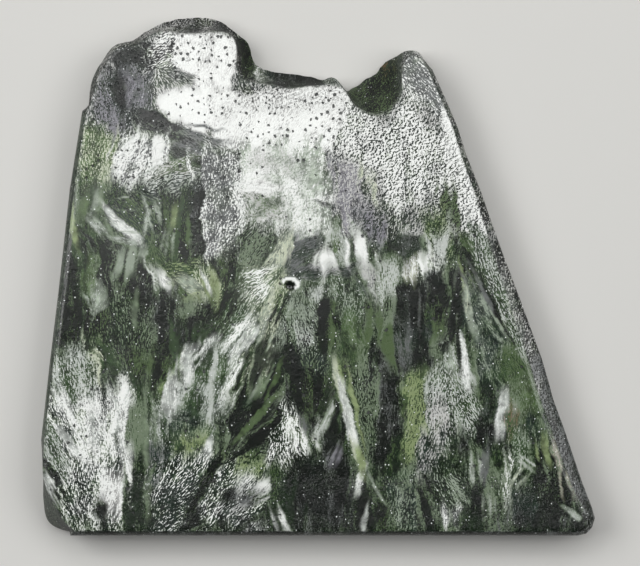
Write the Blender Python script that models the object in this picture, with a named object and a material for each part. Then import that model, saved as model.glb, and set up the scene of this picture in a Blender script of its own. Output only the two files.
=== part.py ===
"""A slab of plumose green stone, sawn on three sides and broken along the top, lying on its back.

Metres, +Z up. X and Y lie in the polished face: +Y points to the broken end and +X to the long slanted side.
The origin is under the middle of the slab, on the surface that it rests on.
"""

import math

import bmesh
import bpy
from mathutils import Vector, noise

MM = 0.001

# Driving dimensions, in millimetres
THICKNESS = 8.0
BACK_BEVEL = 0.35
BROKEN_STEP = 0.9

# Depth of the unevenness of broken stone, sideways and up its slope, and how far its foot is cut back.
SIDEWAYS_ROUGHNESS = 0.16
SLOPE_ROUGHNESS = 0.85
UNDERCUT = 0.9
SLOPE_ROWS = 4

# Height of the widest line of each kind of side, and how its slope up to the face bends.
# A bend over 1 is hollow, with a steep scarp at the face, and one under 1 is rounded over.
SAWN = {"waist": 6.9, "bend": 0.55, "rough": 0.0}
ROUNDED = {"waist": 2.6, "bend": 0.6, "rough": 0.7}
SCARP = {"waist": 3.4, "bend": 2.1, "rough": 1.0}
SCOOP = {"waist": 1.6, "bend": 1.25, "rough": 1.4}
CHIP = {"waist": 2.2, "bend": 1.0, "rough": 0.35}

# Each station is a point of the slab's outline, then the point of the polished face's edge beside it.
# They run clockwise from the lower left corner, seen from above.
CORNER_CHIP = [
    ((-37.8, -39.9), (-37.2, -39.1)),
    ((-39.6, -39.5), (-38.4, -38.0)),
    ((-41.6, -38.6), (-39.6, -36.3)),
    ((-42.3, -36.8), (-40.5, -34.7)),
    ((-42.5, -34.4), (-41.4, -32.6)),
    ((-42.5, -31.0), (-42.0, -30.4)),
]
LEFT_SIDE = [
    ((-42.3, -25.2), (-41.7, -25.1)),
    ((-41.1, -14.4), (-40.4, -14.3)),
    ((-39.6, -2.1), (-38.9, -2.0)),
    ((-37.9, 13.3), (-37.1, 13.3)),
    ((-36.0, 25.2), (-35.2, 25.1)),
]
SHOULDER = [
    ((-35.3, 26.1), (-34.7, 26.2)),
    ((-35.3, 27.6), (-34.3, 27.7)),
    ((-35.1, 30.0), (-33.8, 29.6)),
    ((-34.3, 31.8), (-33.1, 31.2)),
    ((-33.3, 33.3), (-32.3, 32.4)),
    ((-32.2, 34.9), (-31.4, 34.0)),
    ((-31.4, 35.8), (-30.5, 34.7)),
    ((-29.7, 36.2), (-29.3, 35.0)),
    ((-28.3, 36.4), (-27.7, 35.3)),
    ((-27.4, 37.2), (-26.6, 36.0)),
    ((-26.2, 38.0), (-25.6, 36.7)),
]
KNOB = [
    ((-24.6, 38.9), (-24.2, 37.3)),
    ((-23.1, 39.4), (-22.8, 37.3)),
    ((-21.4, 39.7), (-20.9, 37.0)),
    ((-19.6, 39.9), (-19.4, 36.9)),
    ((-17.7, 40.0), (-17.7, 37.1)),
    ((-16.0, 39.7), (-16.0, 37.3)),
    ((-14.6, 39.2), (-14.5, 37.3)),
    ((-13.4, 38.3), (-13.2, 36.9)),
    ((-12.2, 37.5), (-12.5, 35.8)),
    ((-10.9, 36.5), (-12.3, 34.6)),
    ((-10.2, 35.3), (-12.3, 33.3)),
    ((-9.9, 33.8), (-12.3, 32.1)),
    ((-9.5, 32.6), (-12.0, 30.4)),
]
NOTCH = [
    ((-8.6, 32.0), (-10.5, 29.6)),
    ((-7.1, 31.6), (-8.5, 29.3)),
    ((-5.2, 31.4), (-6.3, 29.0)),
    ((-3.2, 31.3), (-4.2, 28.4)),
    ((-1.4, 31.0), (-2.2, 28.9)),
    ((0.2, 30.6), (-0.3, 29.0)),
    ((0.9, 30.0), (0.9, 29.1)),
]
NUB = [
    ((1.5, 30.7), (1.7, 29.2)),
    ((2.3, 31.0), (2.5, 29.3)),
    ((3.2, 30.3), (3.2, 29.3)),
    ((4.0, 29.2), (4.0, 28.6)),
    ((4.6, 28.3), (4.8, 27.6)),
]
HOLLOW = [
    ((5.2, 29.2), (5.2, 26.4)),
    ((6.3, 29.6), (6.3, 25.5)),
    ((7.1, 30.4), (7.5, 24.7)),
    ((8.2, 31.0), (8.9, 24.2)),
    ((9.2, 31.6), (10.2, 24.6)),
    ((9.7, 32.4), (11.4, 25.5)),
    ((10.6, 33.3), (12.5, 26.6)),
    ((11.6, 34.0), (13.1, 28.3)),
    ((12.5, 34.5), (12.9, 30.6)),
]
PEAK = [
    ((13.6, 34.9), (13.2, 32.6)),
    ((14.8, 35.0), (14.3, 33.7)),
    ((15.9, 34.7), (15.3, 33.7)),
    ((16.6, 33.5), (16.0, 33.0)),
]
RIGHT_SIDE = [
    ((17.7, 31.5), (17.1, 31.2)),
    ((19.6, 27.3), (18.9, 27.0)),
    ((21.6, 22.6), (20.9, 22.3)),
    ((22.8, 18.7), (22.0, 18.4)),
    ((25.1, 12.9), (24.1, 12.5)),
    ((28.2, 4.1), (26.9, 3.6)),
    ((31.1, -3.6), (29.4, -4.3)),
    ((34.5, -12.9), (32.5, -13.7)),
    ((35.6, -16.7), (33.6, -17.4)),
    ((36.2, -19.0), (34.3, -19.7)),
    ((37.9, -23.6), (36.0, -24.3)),
    ((40.5, -31.3), (38.8, -31.9)),
    ((42.2, -35.8), (40.9, -36.2)),
    ((42.6, -37.2), (41.4, -37.2)),
    ((42.2, -38.6), (41.2, -38.0)),
    ((41.3, -39.6), (40.6, -38.9)),
    ((39.9, -39.9), (39.6, -39.2)),
]
# The foot is one flat sawn face from here back to where the corner chip starts.
FOOT = [((-37.8, -39.9), (-37.2, -39.1))]

STRETCHES = [
    (CORNER_CHIP, CHIP),
    (LEFT_SIDE, SAWN),
    (SHOULDER, ROUNDED),
    (KNOB, SCARP),
    (NOTCH, SCARP),
    (NUB, ROUNDED),
    (HOLLOW, SCOOP),
    (PEAK, ROUNDED),
    (RIGHT_SIDE, SAWN),
    (FOOT, SAWN),
]

STONE_GREEN = (0.075, 0.105, 0.075, 1.0)
STONE_ROUGHNESS = 0.38


def clear_scene():
    for obj in list(bpy.data.objects):
        bpy.data.objects.remove(obj, do_unlink=True)


def stone_material():
    """Dark green stone with a lapped, half-glossy surface."""
    material = bpy.data.materials.new("plumose_stone")
    material.use_nodes = True
    shader = material.node_tree.nodes["Principled BSDF"]
    shader.inputs["Base Color"].default_value = STONE_GREEN
    shader.inputs["Roughness"].default_value = STONE_ROUGHNESS
    shader.inputs["Metallic"].default_value = 0.0
    return material


def mixed_kind(first, second, share):
    return {name: first[name] * (1 - share) + second[name] * share for name in first}


def stations_round_the_rim():
    """Outline point, face's edge point and kind of side, set closer together on broken stone than on sawn."""
    knots = [(Vector(out), Vector(edge), kind) for points, kind in STRETCHES for out, edge in points]
    rim = []
    for (out_a, edge_a, kind_a), (out_b, edge_b, kind_b) in zip(knots, knots[1:]):
        length = (out_b - out_a).length
        pieces = 1 if kind_b is SAWN else max(1, round(length / BROKEN_STEP))
        for i in range(1, pieces + 1):
            share = i / pieces
            kind = mixed_kind(kind_a, kind_b, share)
            rim.append((out_a.lerp(out_b, share), edge_a.lerp(edge_b, share), kind))
    return rim


def bumps(point, scale):
    """Smooth unevenness of a broken surface, about -1 to 1, that is coarse and fine at once."""
    place = Vector(point) * scale
    return noise.noise(place) + 0.5 * noise.noise(place * 2.3 + Vector((7.0, 3.0, 1.0)))


def side_profile(out, edge, kind):
    """Points up the side at one station, from the back face's edge to the polished face's edge."""
    run = edge - out
    inward = run.normalized()
    rough = kind["rough"]
    waist = kind["waist"] * (1 + 0.45 * rough * bumps((out.x, out.y, 0.0), 0.33))
    waist = min(max(waist, 0.9), THICKNESS - 0.8)
    undercut = max(0.0, UNDERCUT * rough * (0.6 + bumps((out.x, out.y, 9.0), 0.21)))
    foot = out + inward * (BACK_BEVEL + undercut)
    low = out + inward * (0.35 * undercut)
    low_height = BACK_BEVEL + (0.45 * waist - BACK_BEVEL) * min(rough, 1.0)
    points = [foot.to_3d(), Vector((low.x, low.y, low_height))]
    for row in range(SLOPE_ROWS + 1):
        share = row / SLOPE_ROWS
        place = out + run * share
        height = waist + (THICKNESS - waist) * share ** kind["bend"]
        between = math.sin(math.pi * share)
        height += rough * between * SLOPE_ROUGHNESS * bumps((place.x, place.y, height), 0.42)
        sideways = rough * SIDEWAYS_ROUGHNESS * (1 - share) * bumps((place.x, place.y, 4.0), 1.1)
        place = place + inward * abs(sideways)
        points.append(Vector((place.x, place.y, min(height, THICKNESS))))
    return points


def build_slab(material):
    """The whole stone: rings of points up its sides, closed by the flat back and the polished face."""
    mesh = bpy.data.meshes.new("serpentinite_slab")
    bm = bmesh.new()
    rings = []
    for out, edge, kind in stations_round_the_rim():
        rings.append([bm.verts.new(point * MM) for point in side_profile(out, edge, kind)])
    for here, after in zip(rings, rings[1:] + rings[:1]):
        for low in range(len(here) - 1):
            high = low + 1
            bm.faces.new((here[low], here[high], after[high], after[low]))
    bm.faces.new([ring[0] for ring in rings])
    bm.faces.new([ring[-1] for ring in reversed(rings)])
    bmesh.ops.recalc_face_normals(bm, faces=bm.faces)
    bmesh.ops.triangulate(bm, faces=bm.faces, quad_method="BEAUTY", ngon_method="BEAUTY")
    centre_over_origin(bm)
    bm.to_mesh(mesh)
    bm.free()
    mesh.set_sharp_from_angle(angle=math.radians(30))
    mesh.materials.append(material)
    slab = bpy.data.objects.new("serpentinite_slab", mesh)
    bpy.context.scene.collection.objects.link(slab)
    return slab


def centre_over_origin(bm):
    """Puts the middle of the stone's box over the origin."""
    for axis in (0, 1):
        low = min(v.co[axis] for v in bm.verts)
        high = max(v.co[axis] for v in bm.verts)
        for v in bm.verts:
            v.co[axis] -= (low + high) / 2


def main():
    clear_scene()
    build_slab(stone_material())


main()
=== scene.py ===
"""A slab of green plumose stone, sawn on three sides and broken along its top, on a pale studio floor.

Lengths are in millimetres unless a name says metres. X and Y lie in the polished face, with +Y to the broken
end and +X to the slanted side, and the slab's middle is at the origin, on the floor.
"""

import logging
import math
from collections.abc import Callable, Sequence
from dataclasses import dataclass, field
from enum import Enum, IntEnum
from functools import partial

import bpy
import numpy as np
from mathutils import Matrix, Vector
from mathutils.geometry import delaunay_2d_cdt


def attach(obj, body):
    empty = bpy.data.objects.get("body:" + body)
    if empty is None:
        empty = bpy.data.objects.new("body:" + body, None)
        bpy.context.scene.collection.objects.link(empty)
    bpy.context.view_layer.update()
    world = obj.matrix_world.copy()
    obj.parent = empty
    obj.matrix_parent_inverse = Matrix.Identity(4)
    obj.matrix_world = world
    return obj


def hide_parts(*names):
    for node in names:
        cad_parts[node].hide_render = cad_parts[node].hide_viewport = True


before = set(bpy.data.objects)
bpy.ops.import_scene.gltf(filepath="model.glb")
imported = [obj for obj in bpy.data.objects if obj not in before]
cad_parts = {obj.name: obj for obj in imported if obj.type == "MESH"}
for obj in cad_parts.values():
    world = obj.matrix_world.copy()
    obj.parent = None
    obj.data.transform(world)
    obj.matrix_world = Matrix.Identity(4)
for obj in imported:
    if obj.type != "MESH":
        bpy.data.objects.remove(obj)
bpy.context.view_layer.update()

log = logging.getLogger("slab")

MM = 0.001
Point = tuple[float, float]
Corners = tuple[Point, ...]
Array = np.ndarray
Socket = bpy.types.NodeSocket
Adder = Callable[..., Socket]  # add_node for one tree

# Large odd numbers that scatter the numbers of a lattice's cells.
COLUMN_PRIME = 374761393
ROW_PRIME = 668265263
SEED_PRIME = 974634777
MIXING_PRIME = 1274126177


class Seed(IntEnum):
    """Which random values each kind of unevenness draws."""

    WAIST = 3
    UNDERCUT = 5
    BITE = 21
    STEPS = 31
    CHIPS = 37
    WAVES = 41
    BUMPS = 43
    SKIN_BORDER = 71
    STRAY_ACROSS = 900
    STRAY_UP = 950


def linear(hex_colour: str) -> tuple[float, float, float]:
    """Turns an sRGB colour to linear values.

    Args:
        hex_colour: The colour, such as #6b4a34.

    Returns:
        Its linear red, green and blue.
    """
    parts = (int(hex_colour[i : i + 2], 16) / 255 for i in (1, 3, 5))
    red, green, blue = (p / 12.92 if p <= 0.04045 else ((p + 0.055) / 1.055) ** 2.4 for p in parts)
    return red, green, blue


def random_cells(x: Array, y: Array, seed: int) -> Array:
    """Draws smooth random values that change over one unit of x and y.

    Args:
        x: The points' x.
        y: The points' y.
        seed: Which values are drawn.

    Returns:
        A value from 0 to 1 for each point.
    """
    column, row = np.floor(x).astype(np.int64), np.floor(y).astype(np.int64)
    across, up = x - column, y - row
    across, up = across * across * (3 - 2 * across), up * up * (3 - 2 * up)

    def corner(i: int, j: int) -> Array:
        """Draws the random value of one corner of each point's cell.

        Args:
            i: 1 for a right corner, 0 for a left one.
            j: 1 for an upper corner, 0 for a lower one.

        Returns:
            A value from 0 to 1 for each point.
        """
        mixed = (column + i) * COLUMN_PRIME + (row + j) * ROW_PRIME + seed * SEED_PRIME
        mixed = ((mixed ^ (mixed >> 13)) & 0xFFFFFFFF) * MIXING_PRIME & 0xFFFFFFFF
        return ((mixed ^ (mixed >> 16)) & 0xFFFF) / 65535.0

    low = corner(0, 0) * (1 - across) + corner(1, 0) * across
    high = corner(0, 1) * (1 - across) + corner(1, 1) * across
    return low * (1 - up) + high * up


def uneven(x: Array, y: Array, seed: int, octaves: int = 3) -> Array:
    """Draws random values with several sizes of detail, the largest one unit wide.

    Args:
        x: The points' x.
        y: The points' y.
        seed: Which values are drawn.
        octaves: How many sizes of detail, each half as wide as the one before.

    Returns:
        A value from 0 to 1 for each point.
    """
    total, weights = np.zeros_like(x), 0.0
    for octave in range(octaves):
        weight = 0.55**octave
        total += weight * random_cells(x * 2**octave, y * 2**octave, seed + 17 * octave)
        weights += weight
    return total / weights


def smooth_step(start: float, end: float, values: Array) -> Array:
    """0 below start, 1 above end, and an S-shaped rise between them."""
    share = np.clip((values - start) / (end - start), 0.0, 1.0)
    return share * share * (3 - 2 * share)


def distance_inside(corners: Sequence[Point], x: Array, y: Array) -> Array:
    """Measures how far points are inside a polygon.

    Args:
        corners: The polygon's corners, in order.
        x: The points' x.
        y: The points' y.

    Returns:
        Each point's distance from the polygon's border, negative outside it.
    """
    nearest, inside = np.full(x.shape, 1e9), np.zeros(x.shape, bool)
    for (ax, ay), (bx, by) in zip(corners, [*corners[1:], corners[0]]):
        dx, dy = bx - ax, by - ay
        share = np.clip(((x - ax) * dx + (y - ay) * dy) / (dx * dx + dy * dy), 0, 1)
        nearest = np.minimum(nearest, np.hypot(x - ax - share * dx, y - ay - share * dy))
        if dy != 0:
            inside ^= ((ay > y) != (by > y)) & (x < dx * (y - ay) / dy + ax)
    return np.where(inside, nearest, -nearest)


class Tone(Enum):
    """Colours of the stone, matched one by one."""

    NIGHT = "#080f08"
    DEEP = "#12210f"
    SLATE = "#1d2b22"
    MOSS = "#2e4026"
    OLIVE = "#4e603e"
    SAGE = "#707e67"
    MIST = "#939e8e"
    SILVER = "#bfc4be"
    WHITE = "#f4f6f2"
    CREAM = "#c6ccb4"
    LEAFY = "#869569"
    LILAC = "#828187"
    PEARL = "#c3c3c0"
    RUST = "#6b4a34"
    SAND = "#9b988a"
    GREY = "#646766"
    SAWDUST = "#5a6056"

    @property
    def rgb(self) -> Array:
        """The linear colour."""
        return np.array(linear(self.value))


# The tones by their own names, for the lists of plumes.
NIGHT, DEEP, SLATE, MOSS, OLIVE, SAGE, MIST, SILVER, WHITE, CREAM = list(Tone)[:10]
LEAFY, LILAC, PEARL, RUST, SAND, GREY, SAWDUST = list(Tone)[10:]


@dataclass(frozen=True)
class Side:
    """How a kind of side rises from the back of the slab to its face.

    A bend over 1 is hollow, with a steep scarp at the face, and one under 1 is rounded over.
    """

    waist: float  # height of the widest line
    bend: float
    rough: float


SAWN = Side(6.9, 0.55, 0.0)
ROUNDED = Side(2.6, 0.6, 0.7)
SCARP = Side(3.4, 2.1, 1.0)
SCOOP = Side(1.6, 1.25, 1.4)
CHIP = Side(2.2, 1.0, 0.35)

# Each station is a point of the outline, then the point of the polished face's edge beside it.
# They run clockwise from the lower left corner, seen from above.
CORNER_CHIP = (
    ((-37.8, -39.9), (-37.2, -39.1)), ((-39.6, -39.5), (-38.4, -38.0)), ((-41.6, -38.6), (-39.6, -36.3)),
    ((-42.3, -36.8), (-40.5, -34.7)), ((-42.5, -34.4), (-41.4, -32.6)), ((-42.5, -31.0), (-42.0, -30.4)),
)
LEFT_SIDE = (
    ((-42.3, -25.2), (-41.7, -25.1)), ((-41.1, -14.4), (-40.4, -14.3)), ((-39.6, -2.1), (-38.9, -2.0)),
    ((-37.9, 13.3), (-37.1, 13.3)), ((-36.0, 25.2), (-35.2, 25.1)),
)
SHOULDER = (
    ((-35.3, 26.1), (-34.7, 26.2)), ((-35.3, 27.6), (-34.3, 27.7)), ((-35.1, 30.0), (-33.8, 29.6)),
    ((-34.3, 31.8), (-33.1, 31.2)), ((-33.3, 33.3), (-32.3, 32.4)), ((-32.2, 34.9), (-31.4, 34.0)),
    ((-31.4, 35.8), (-30.5, 34.7)), ((-29.7, 36.2), (-29.3, 35.0)), ((-28.3, 36.4), (-27.7, 35.3)),
    ((-27.4, 37.2), (-26.6, 36.0)), ((-26.2, 38.0), (-25.6, 36.7)),
)
KNOB = (
    ((-24.6, 38.9), (-24.2, 37.3)), ((-23.1, 39.4), (-22.8, 37.3)), ((-21.4, 39.7), (-20.9, 37.0)),
    ((-19.6, 39.9), (-19.4, 36.9)), ((-17.7, 40.0), (-17.7, 37.1)), ((-16.0, 39.7), (-16.0, 37.3)),
    ((-14.6, 39.2), (-14.5, 37.3)), ((-13.4, 38.3), (-13.2, 36.9)), ((-12.2, 37.5), (-12.5, 35.8)),
    ((-10.9, 36.5), (-12.3, 34.6)), ((-10.2, 35.3), (-12.3, 33.3)), ((-9.9, 33.8), (-12.3, 32.1)),
    ((-9.5, 32.6), (-12.0, 30.4)),
)
NOTCH = (
    ((-8.6, 32.0), (-10.5, 29.6)), ((-7.1, 31.6), (-8.5, 29.3)), ((-5.2, 31.4), (-6.3, 29.0)),
    ((-3.2, 31.3), (-4.2, 28.4)), ((-1.4, 31.0), (-2.2, 28.9)), ((0.2, 30.6), (-0.3, 29.0)),
    ((0.9, 30.0), (0.9, 29.1)),
)
NUB = (
    ((1.5, 30.7), (1.7, 29.2)), ((2.3, 31.0), (2.5, 29.3)), ((3.2, 30.3), (3.2, 29.3)),
    ((4.0, 29.2), (4.0, 28.6)), ((4.6, 28.3), (4.8, 27.6)),
)
HOLLOW = (
    ((5.2, 29.2), (5.2, 26.4)), ((6.3, 29.6), (6.3, 25.5)), ((7.1, 30.4), (7.5, 24.7)),
    ((8.2, 31.0), (8.9, 24.2)), ((9.2, 31.6), (10.2, 24.6)), ((9.7, 32.4), (11.4, 25.5)),
    ((10.6, 33.3), (12.5, 26.6)), ((11.6, 34.0), (13.1, 28.3)), ((12.5, 34.5), (12.9, 30.6)),
)
PEAK = (
    ((13.6, 34.9), (13.2, 32.6)), ((14.8, 35.0), (14.3, 33.7)), ((15.9, 34.7), (15.3, 33.7)),
    ((16.6, 33.5), (16.0, 33.0)),
)
RIGHT_SIDE = (
    ((17.7, 31.5), (17.1, 31.2)), ((19.6, 27.3), (18.9, 27.0)), ((21.6, 22.6), (20.9, 22.3)),
    ((22.8, 18.7), (22.0, 18.4)), ((25.1, 12.9), (24.1, 12.5)), ((28.2, 4.1), (26.9, 3.6)),
    ((31.1, -3.6), (29.4, -4.3)), ((34.5, -12.9), (32.5, -13.7)), ((35.6, -16.7), (33.6, -17.4)),
    ((36.2, -19.0), (34.3, -19.7)), ((37.9, -23.6), (36.0, -24.3)), ((40.5, -31.3), (38.8, -31.9)),
    ((42.2, -35.8), (40.9, -36.2)), ((42.6, -37.2), (41.4, -37.2)), ((42.2, -38.6), (41.2, -38.0)),
    ((41.3, -39.6), (40.6, -38.9)), ((39.9, -39.9), (39.6, -39.2)),
)
FOOT = (((-37.8, -39.9), (-37.2, -39.1)),)

STRETCHES = (
    (CHIP, CORNER_CHIP),
    (SAWN, LEFT_SIDE),
    (ROUNDED, SHOULDER),
    (SCARP, KNOB),
    (SCARP, NOTCH),
    (ROUNDED, NUB),
    (SCOOP, HOLLOW),
    (ROUNDED, PEAK),
    (SAWN, RIGHT_SIDE),
    (SAWN, FOOT),
)


@dataclass(frozen=True)
class Plume:
    """A tuft of fibres in the stone's face, or any patch of it with one colour and grain."""

    fibres: Tone
    between: Tone
    root: Point  # where its fibres spread from
    corners: Corners
    grain: float  # how much it glitters
    fringe: float  # width of its ragged border
    cover: float = 1.0
    waver: float = 0.8  # how far its border strays
    spikes: float = 1.0  # how far its border follows its fibres
    bundles: float = 1.3  # how strongly its fibres gather in bundles
    level: float = 0.0  # more than 0 where there is more of the fibres' colour all over

    @property
    def seed(self) -> int:
        """A number from the plume's place, which picks its fraying whatever else is laid."""
        (x, y), (root_x, root_y) = self.corners[0], self.root
        return round(abs(73 * x + 31 * y + 17 * root_x + 11 * root_y)) % 4000

    @property
    def heading(self) -> float:
        """The direction from the plume's root to its middle, in radians."""
        middle = np.array(self.corners).mean(0) - self.root
        return math.atan2(middle[1], middle[0])


def film(*shape: Tone | Point | Corners | float, **more: float) -> Plume:
    """A plume of smooth stone, with a plain border and hardly any bundles."""
    return Plume(*shape, spikes=0.3, bundles=0.4, **more)


def deep(
    fibres: Tone, between: Tone, root: Point, corners: Corners, fringe: float, level: float = -0.36
) -> Plume:
    """A plume of dark stone that glitters little, with broad bundles glimmering in it."""
    return Plume(fibres, between, root, corners, 0.25, fringe, bundles=1.6, level=level)


# Half widths up one side of a fibre bundle and down the other, with the share of its length at each.
BLADE_OUTLINE = ((0, 0), (0.3, 0.9), (0.6, 1), (0.85, 0.6), (1, 0), (0.85, -0.6), (0.6, -1), (0.3, -0.9))
BLADE_SHADES = {DEEP: NIGHT, WHITE: SILVER, SILVER: MIST, CREAM: MIST}
BLADE_ROOT = 40  # how far behind a blade its fibres meet


def blade(fibres: Tone, root: Point, tip: Point, width: float, bow: float = 0.0) -> Plume:
    """Shapes one bright or dark fibre bundle, pointed at both ends.

    Args:
        fibres: Its colour.
        root: One end.
        tip: The other end.
        width: Its greatest width.
        bow: How far its middle is off the straight line, to the right of the way from root to tip.

    Returns:
        The bundle, as a narrow plume.
    """
    length = math.hypot(tip[0] - root[0], tip[1] - root[1])
    ahead = ((tip[0] - root[0]) / length, (tip[1] - root[1]) / length)
    corners = []
    for share, half in BLADE_OUTLINE:
        out = half * width / 2 + bow * 4 * share * (1 - share)
        x = root[0] + ahead[0] * length * share + ahead[1] * out
        y = root[1] + ahead[1] * length * share - ahead[0] * out
        corners.append((x, y))
    behind = (root[0] - BLADE_ROOT * ahead[0], root[1] - BLADE_ROOT * ahead[1])
    between = BLADE_SHADES.get(fibres, fibres)
    return Plume(fibres, between, behind, tuple(corners), 0.35, 0.4 * width, 0.9, 0.4, 0.8, 1.7)


# The plumes' places and tones were listed, the places in pixels of the photograph, and turned into
# millimetres. Many levels, and some grains and tones, were then moved by a program to bring the average
# brightness of each plume nearer to the photograph's.

# Along the top of the face and over the knob, the pearl and white plumes are partly painted highlight, the
# reflection of a light in the lapped face, and partly pale stone.
TOP_LEFT = (
    film(PEARL, SLATE, (-2.6, -65.2), ((-35, 28), (-31.9, 34.1), (-25.7, 36.4), (-19.6, 38), (-12.3, 37.3),
        (-11.9, 29.5), (4.3, 29.5), (5.4, 27.2), (9.7, 24.4), (13.2, 27.5), (13.1, 33.6), (16.6, 33.3),
        (22.8, 19.5), (28.2, 6.4), (18.9, 6.4), (9.7, 5.6), (2, 9.5), (-4.2, 5.6), (-11.9, 7.2),
        (-12.6, 19.5), (-25.7, 21), (-36.5, 22.6)), 0.7, 0.7, cover=0.95, level=-0.07),
    deep(GREY, NIGHT, (-39.6, 42.6), ((-32.5, 33.6), (-30, 35.2), (-25.7, 35.5), (-24.8, 34), (-25.7, 31.5),
        (-29.1, 30.6), (-32.8, 30.6)), 0.7),
    Plume(LILAC, SLATE, (-24.2, -3.6), ((-33.4, 30.9), (-28, 31.5), (-25.4, 30.3), (-25.4, 25.6),
        (-27.6, 23.8), (-29.1, 21.6), (-33.4, 21.9), (-35.3, 24.1), (-34.6, 27.5)), 0.7, 0.7),
    deep(GREY, NIGHT, (-30.3, -3.6), ((-31.1, 30.3), (-29.6, 30), (-29.4, 26.3), (-30.8, 26.3)), 0.4),
    Plume(SLATE, LILAC, (-30.3, -3.6), ((-29.7, 30), (-26.3, 30), (-26.3, 27.5),
        (-28.8, 26.9)), 0.7, 0.5, level=-0.22),
    Plume(LILAC, GREY, (-30.3, -3.6), ((-32.3, 24.7), (-28.8, 24.4), (-28.8, 21.3),
        (-31.9, 21.3)), 0.7, 0.5, level=0.6),
    Plume(WHITE, NIGHT, (-8.5, 44.1), ((-26, 33.6), (-24.2, 35.8), (-21.7, 36.9), (-20.8, 35.8),
        (-21.1, 32.7), (-22.6, 30.9), (-25.4, 31.2)), 0.7, 0.5, level=0.01),
    # Painted highlight on the knob's face, over pale stone.
    film(WHITE, PEARL, (-22.6, -3.6), ((-21.7, 37), (-18, 36.9), (-12.5, 37.3), (-12.5, 33.3), (-13.2, 28.4),
        (-17.2, 27.8), (-20.5, 30.3), (-22, 33)), 0.7, 0.4, level=0.32),
    film(PEARL, SLATE, (-27.3, 33.3), ((-24.2, 31.2), (-21.7, 32.1), (-18.6, 30.3), (-19.2, 27.8),
        (-22.9, 27.8), (-25.7, 28.4)), 0.7, 0.7, level=-0.1),
    film(WHITE, PEARL, (-22.6, -3.6), ((-24.2, 27.5), (-21.1, 28.7), (-16.2, 28.4), (-15.9, 24.4),
        (-16.8, 21.9), (-18.6, 21.6), (-21.1, 23.5), (-24.2, 25.3)), 0.25, 1.5, level=0.6),
    film(WHITE, PEARL, (-22.6, -3.6), ((-17.2, 27.5), (-12.6, 28.1), (-11.1, 27.5), (-2.9, 28.7), (4.3, 28.7),
        (5.4, 25.9), (3.2, 21), (2, 19.2), (-8.5, 19.5), (-11.9, 19.2), (-14.6, 19.8),
        (-16.5, 22.9)), 0.7, 0.7, level=0.41),
    deep(SAGE, NIGHT, (-33.4, 28.7), ((-28.2, 24.7), (-25.7, 25), (-22.3, 23.8), (-20.5, 21.6), (-21.4, 20.7),
        (-24.8, 21.3), (-27.9, 22.3)), 0.5),
    deep(GREY, NIGHT, (-33.4, 24.1), ((-22.3, 20.1), (-19.2, 20.1), (-16.8, 17.9), (-17.1, 16.7),
        (-19.6, 17.3), (-22, 18.2)), 0.5),
    Plume(GREY, SLATE, (-33.4, 24.1), ((-19.9, 21.9), (-16.2, 22.3), (-13.7, 20.7), (-14.9, 18.9),
        (-17.4, 18.6), (-19.2, 20.1)), 0.7, 0.5, level=0.57),
    Plume(WHITE, GREY, (-22.6, 33.3), ((-30, 20.3), (-27.3, 21.9), (-23.3, 21.3), (-22.9, 16.7),
        (-25.4, 13.6), (-29.1, 13.3), (-31.3, 16.1)), 0.35, 0.7, level=0.31),
    film(WHITE, WHITE, (-27.3, -3.6), ((-25.1, 20.9), (-23.3, 20.9), (-23.4, 16.7),
        (-24.6, 16.7)), 0.25, 0.3, level=0.6),
    Plume(CREAM, OLIVE, (-33.4, -8.2), ((-36.5, 23.3), (-31.1, 21.3), (-31.6, 16.4), (-32.5, 12.6),
        (-37.6, 12.6), (-37.1, 19.5)), 0.7, 0.5, level=-0.11),
    Plume(PEARL, OLIVE, (-39.6, 11.8), ((-23.4, 18.2), (-18.9, 17.5), (-17.2, 15.5),
        (-24.2, 14.6)), 0.4, 0.5, level=-0.04),
    Plume(SILVER, SLATE, (-39.6, 11.8), ((-25.7, 15.5), (-18, 15.8), (-18, 12.7), (-25.7, 12.1)), 0.7, 0.5),
    Plume(WHITE, GREY, (-14.6, -65.2), ((-18.5, 18.6), (-16.8, 19.2), (-14.6, 19.5), (-11.4, 18.6),
        (-10.9, 13.3), (-10.3, 6.9), (-12.5, 2.2), (-18, 2.2), (-18.6, 11.8)), 0.7, 0.5, level=-0.03),
    deep(GREY, NIGHT, (-18.8, -49.8), ((-19.9, 13.6), (-17.9, 13.3), (-17.9, 3.8), (-19.6, 4.1)), 0.3),
    deep(OLIVE, NIGHT, (-13.4, -19), ((-15.1, 2.2), (-12.5, 3.2), (-13.4, -0.5), (-14.6, -2.4),
        (-15.9, -0.2)), 0.3),
)
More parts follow.
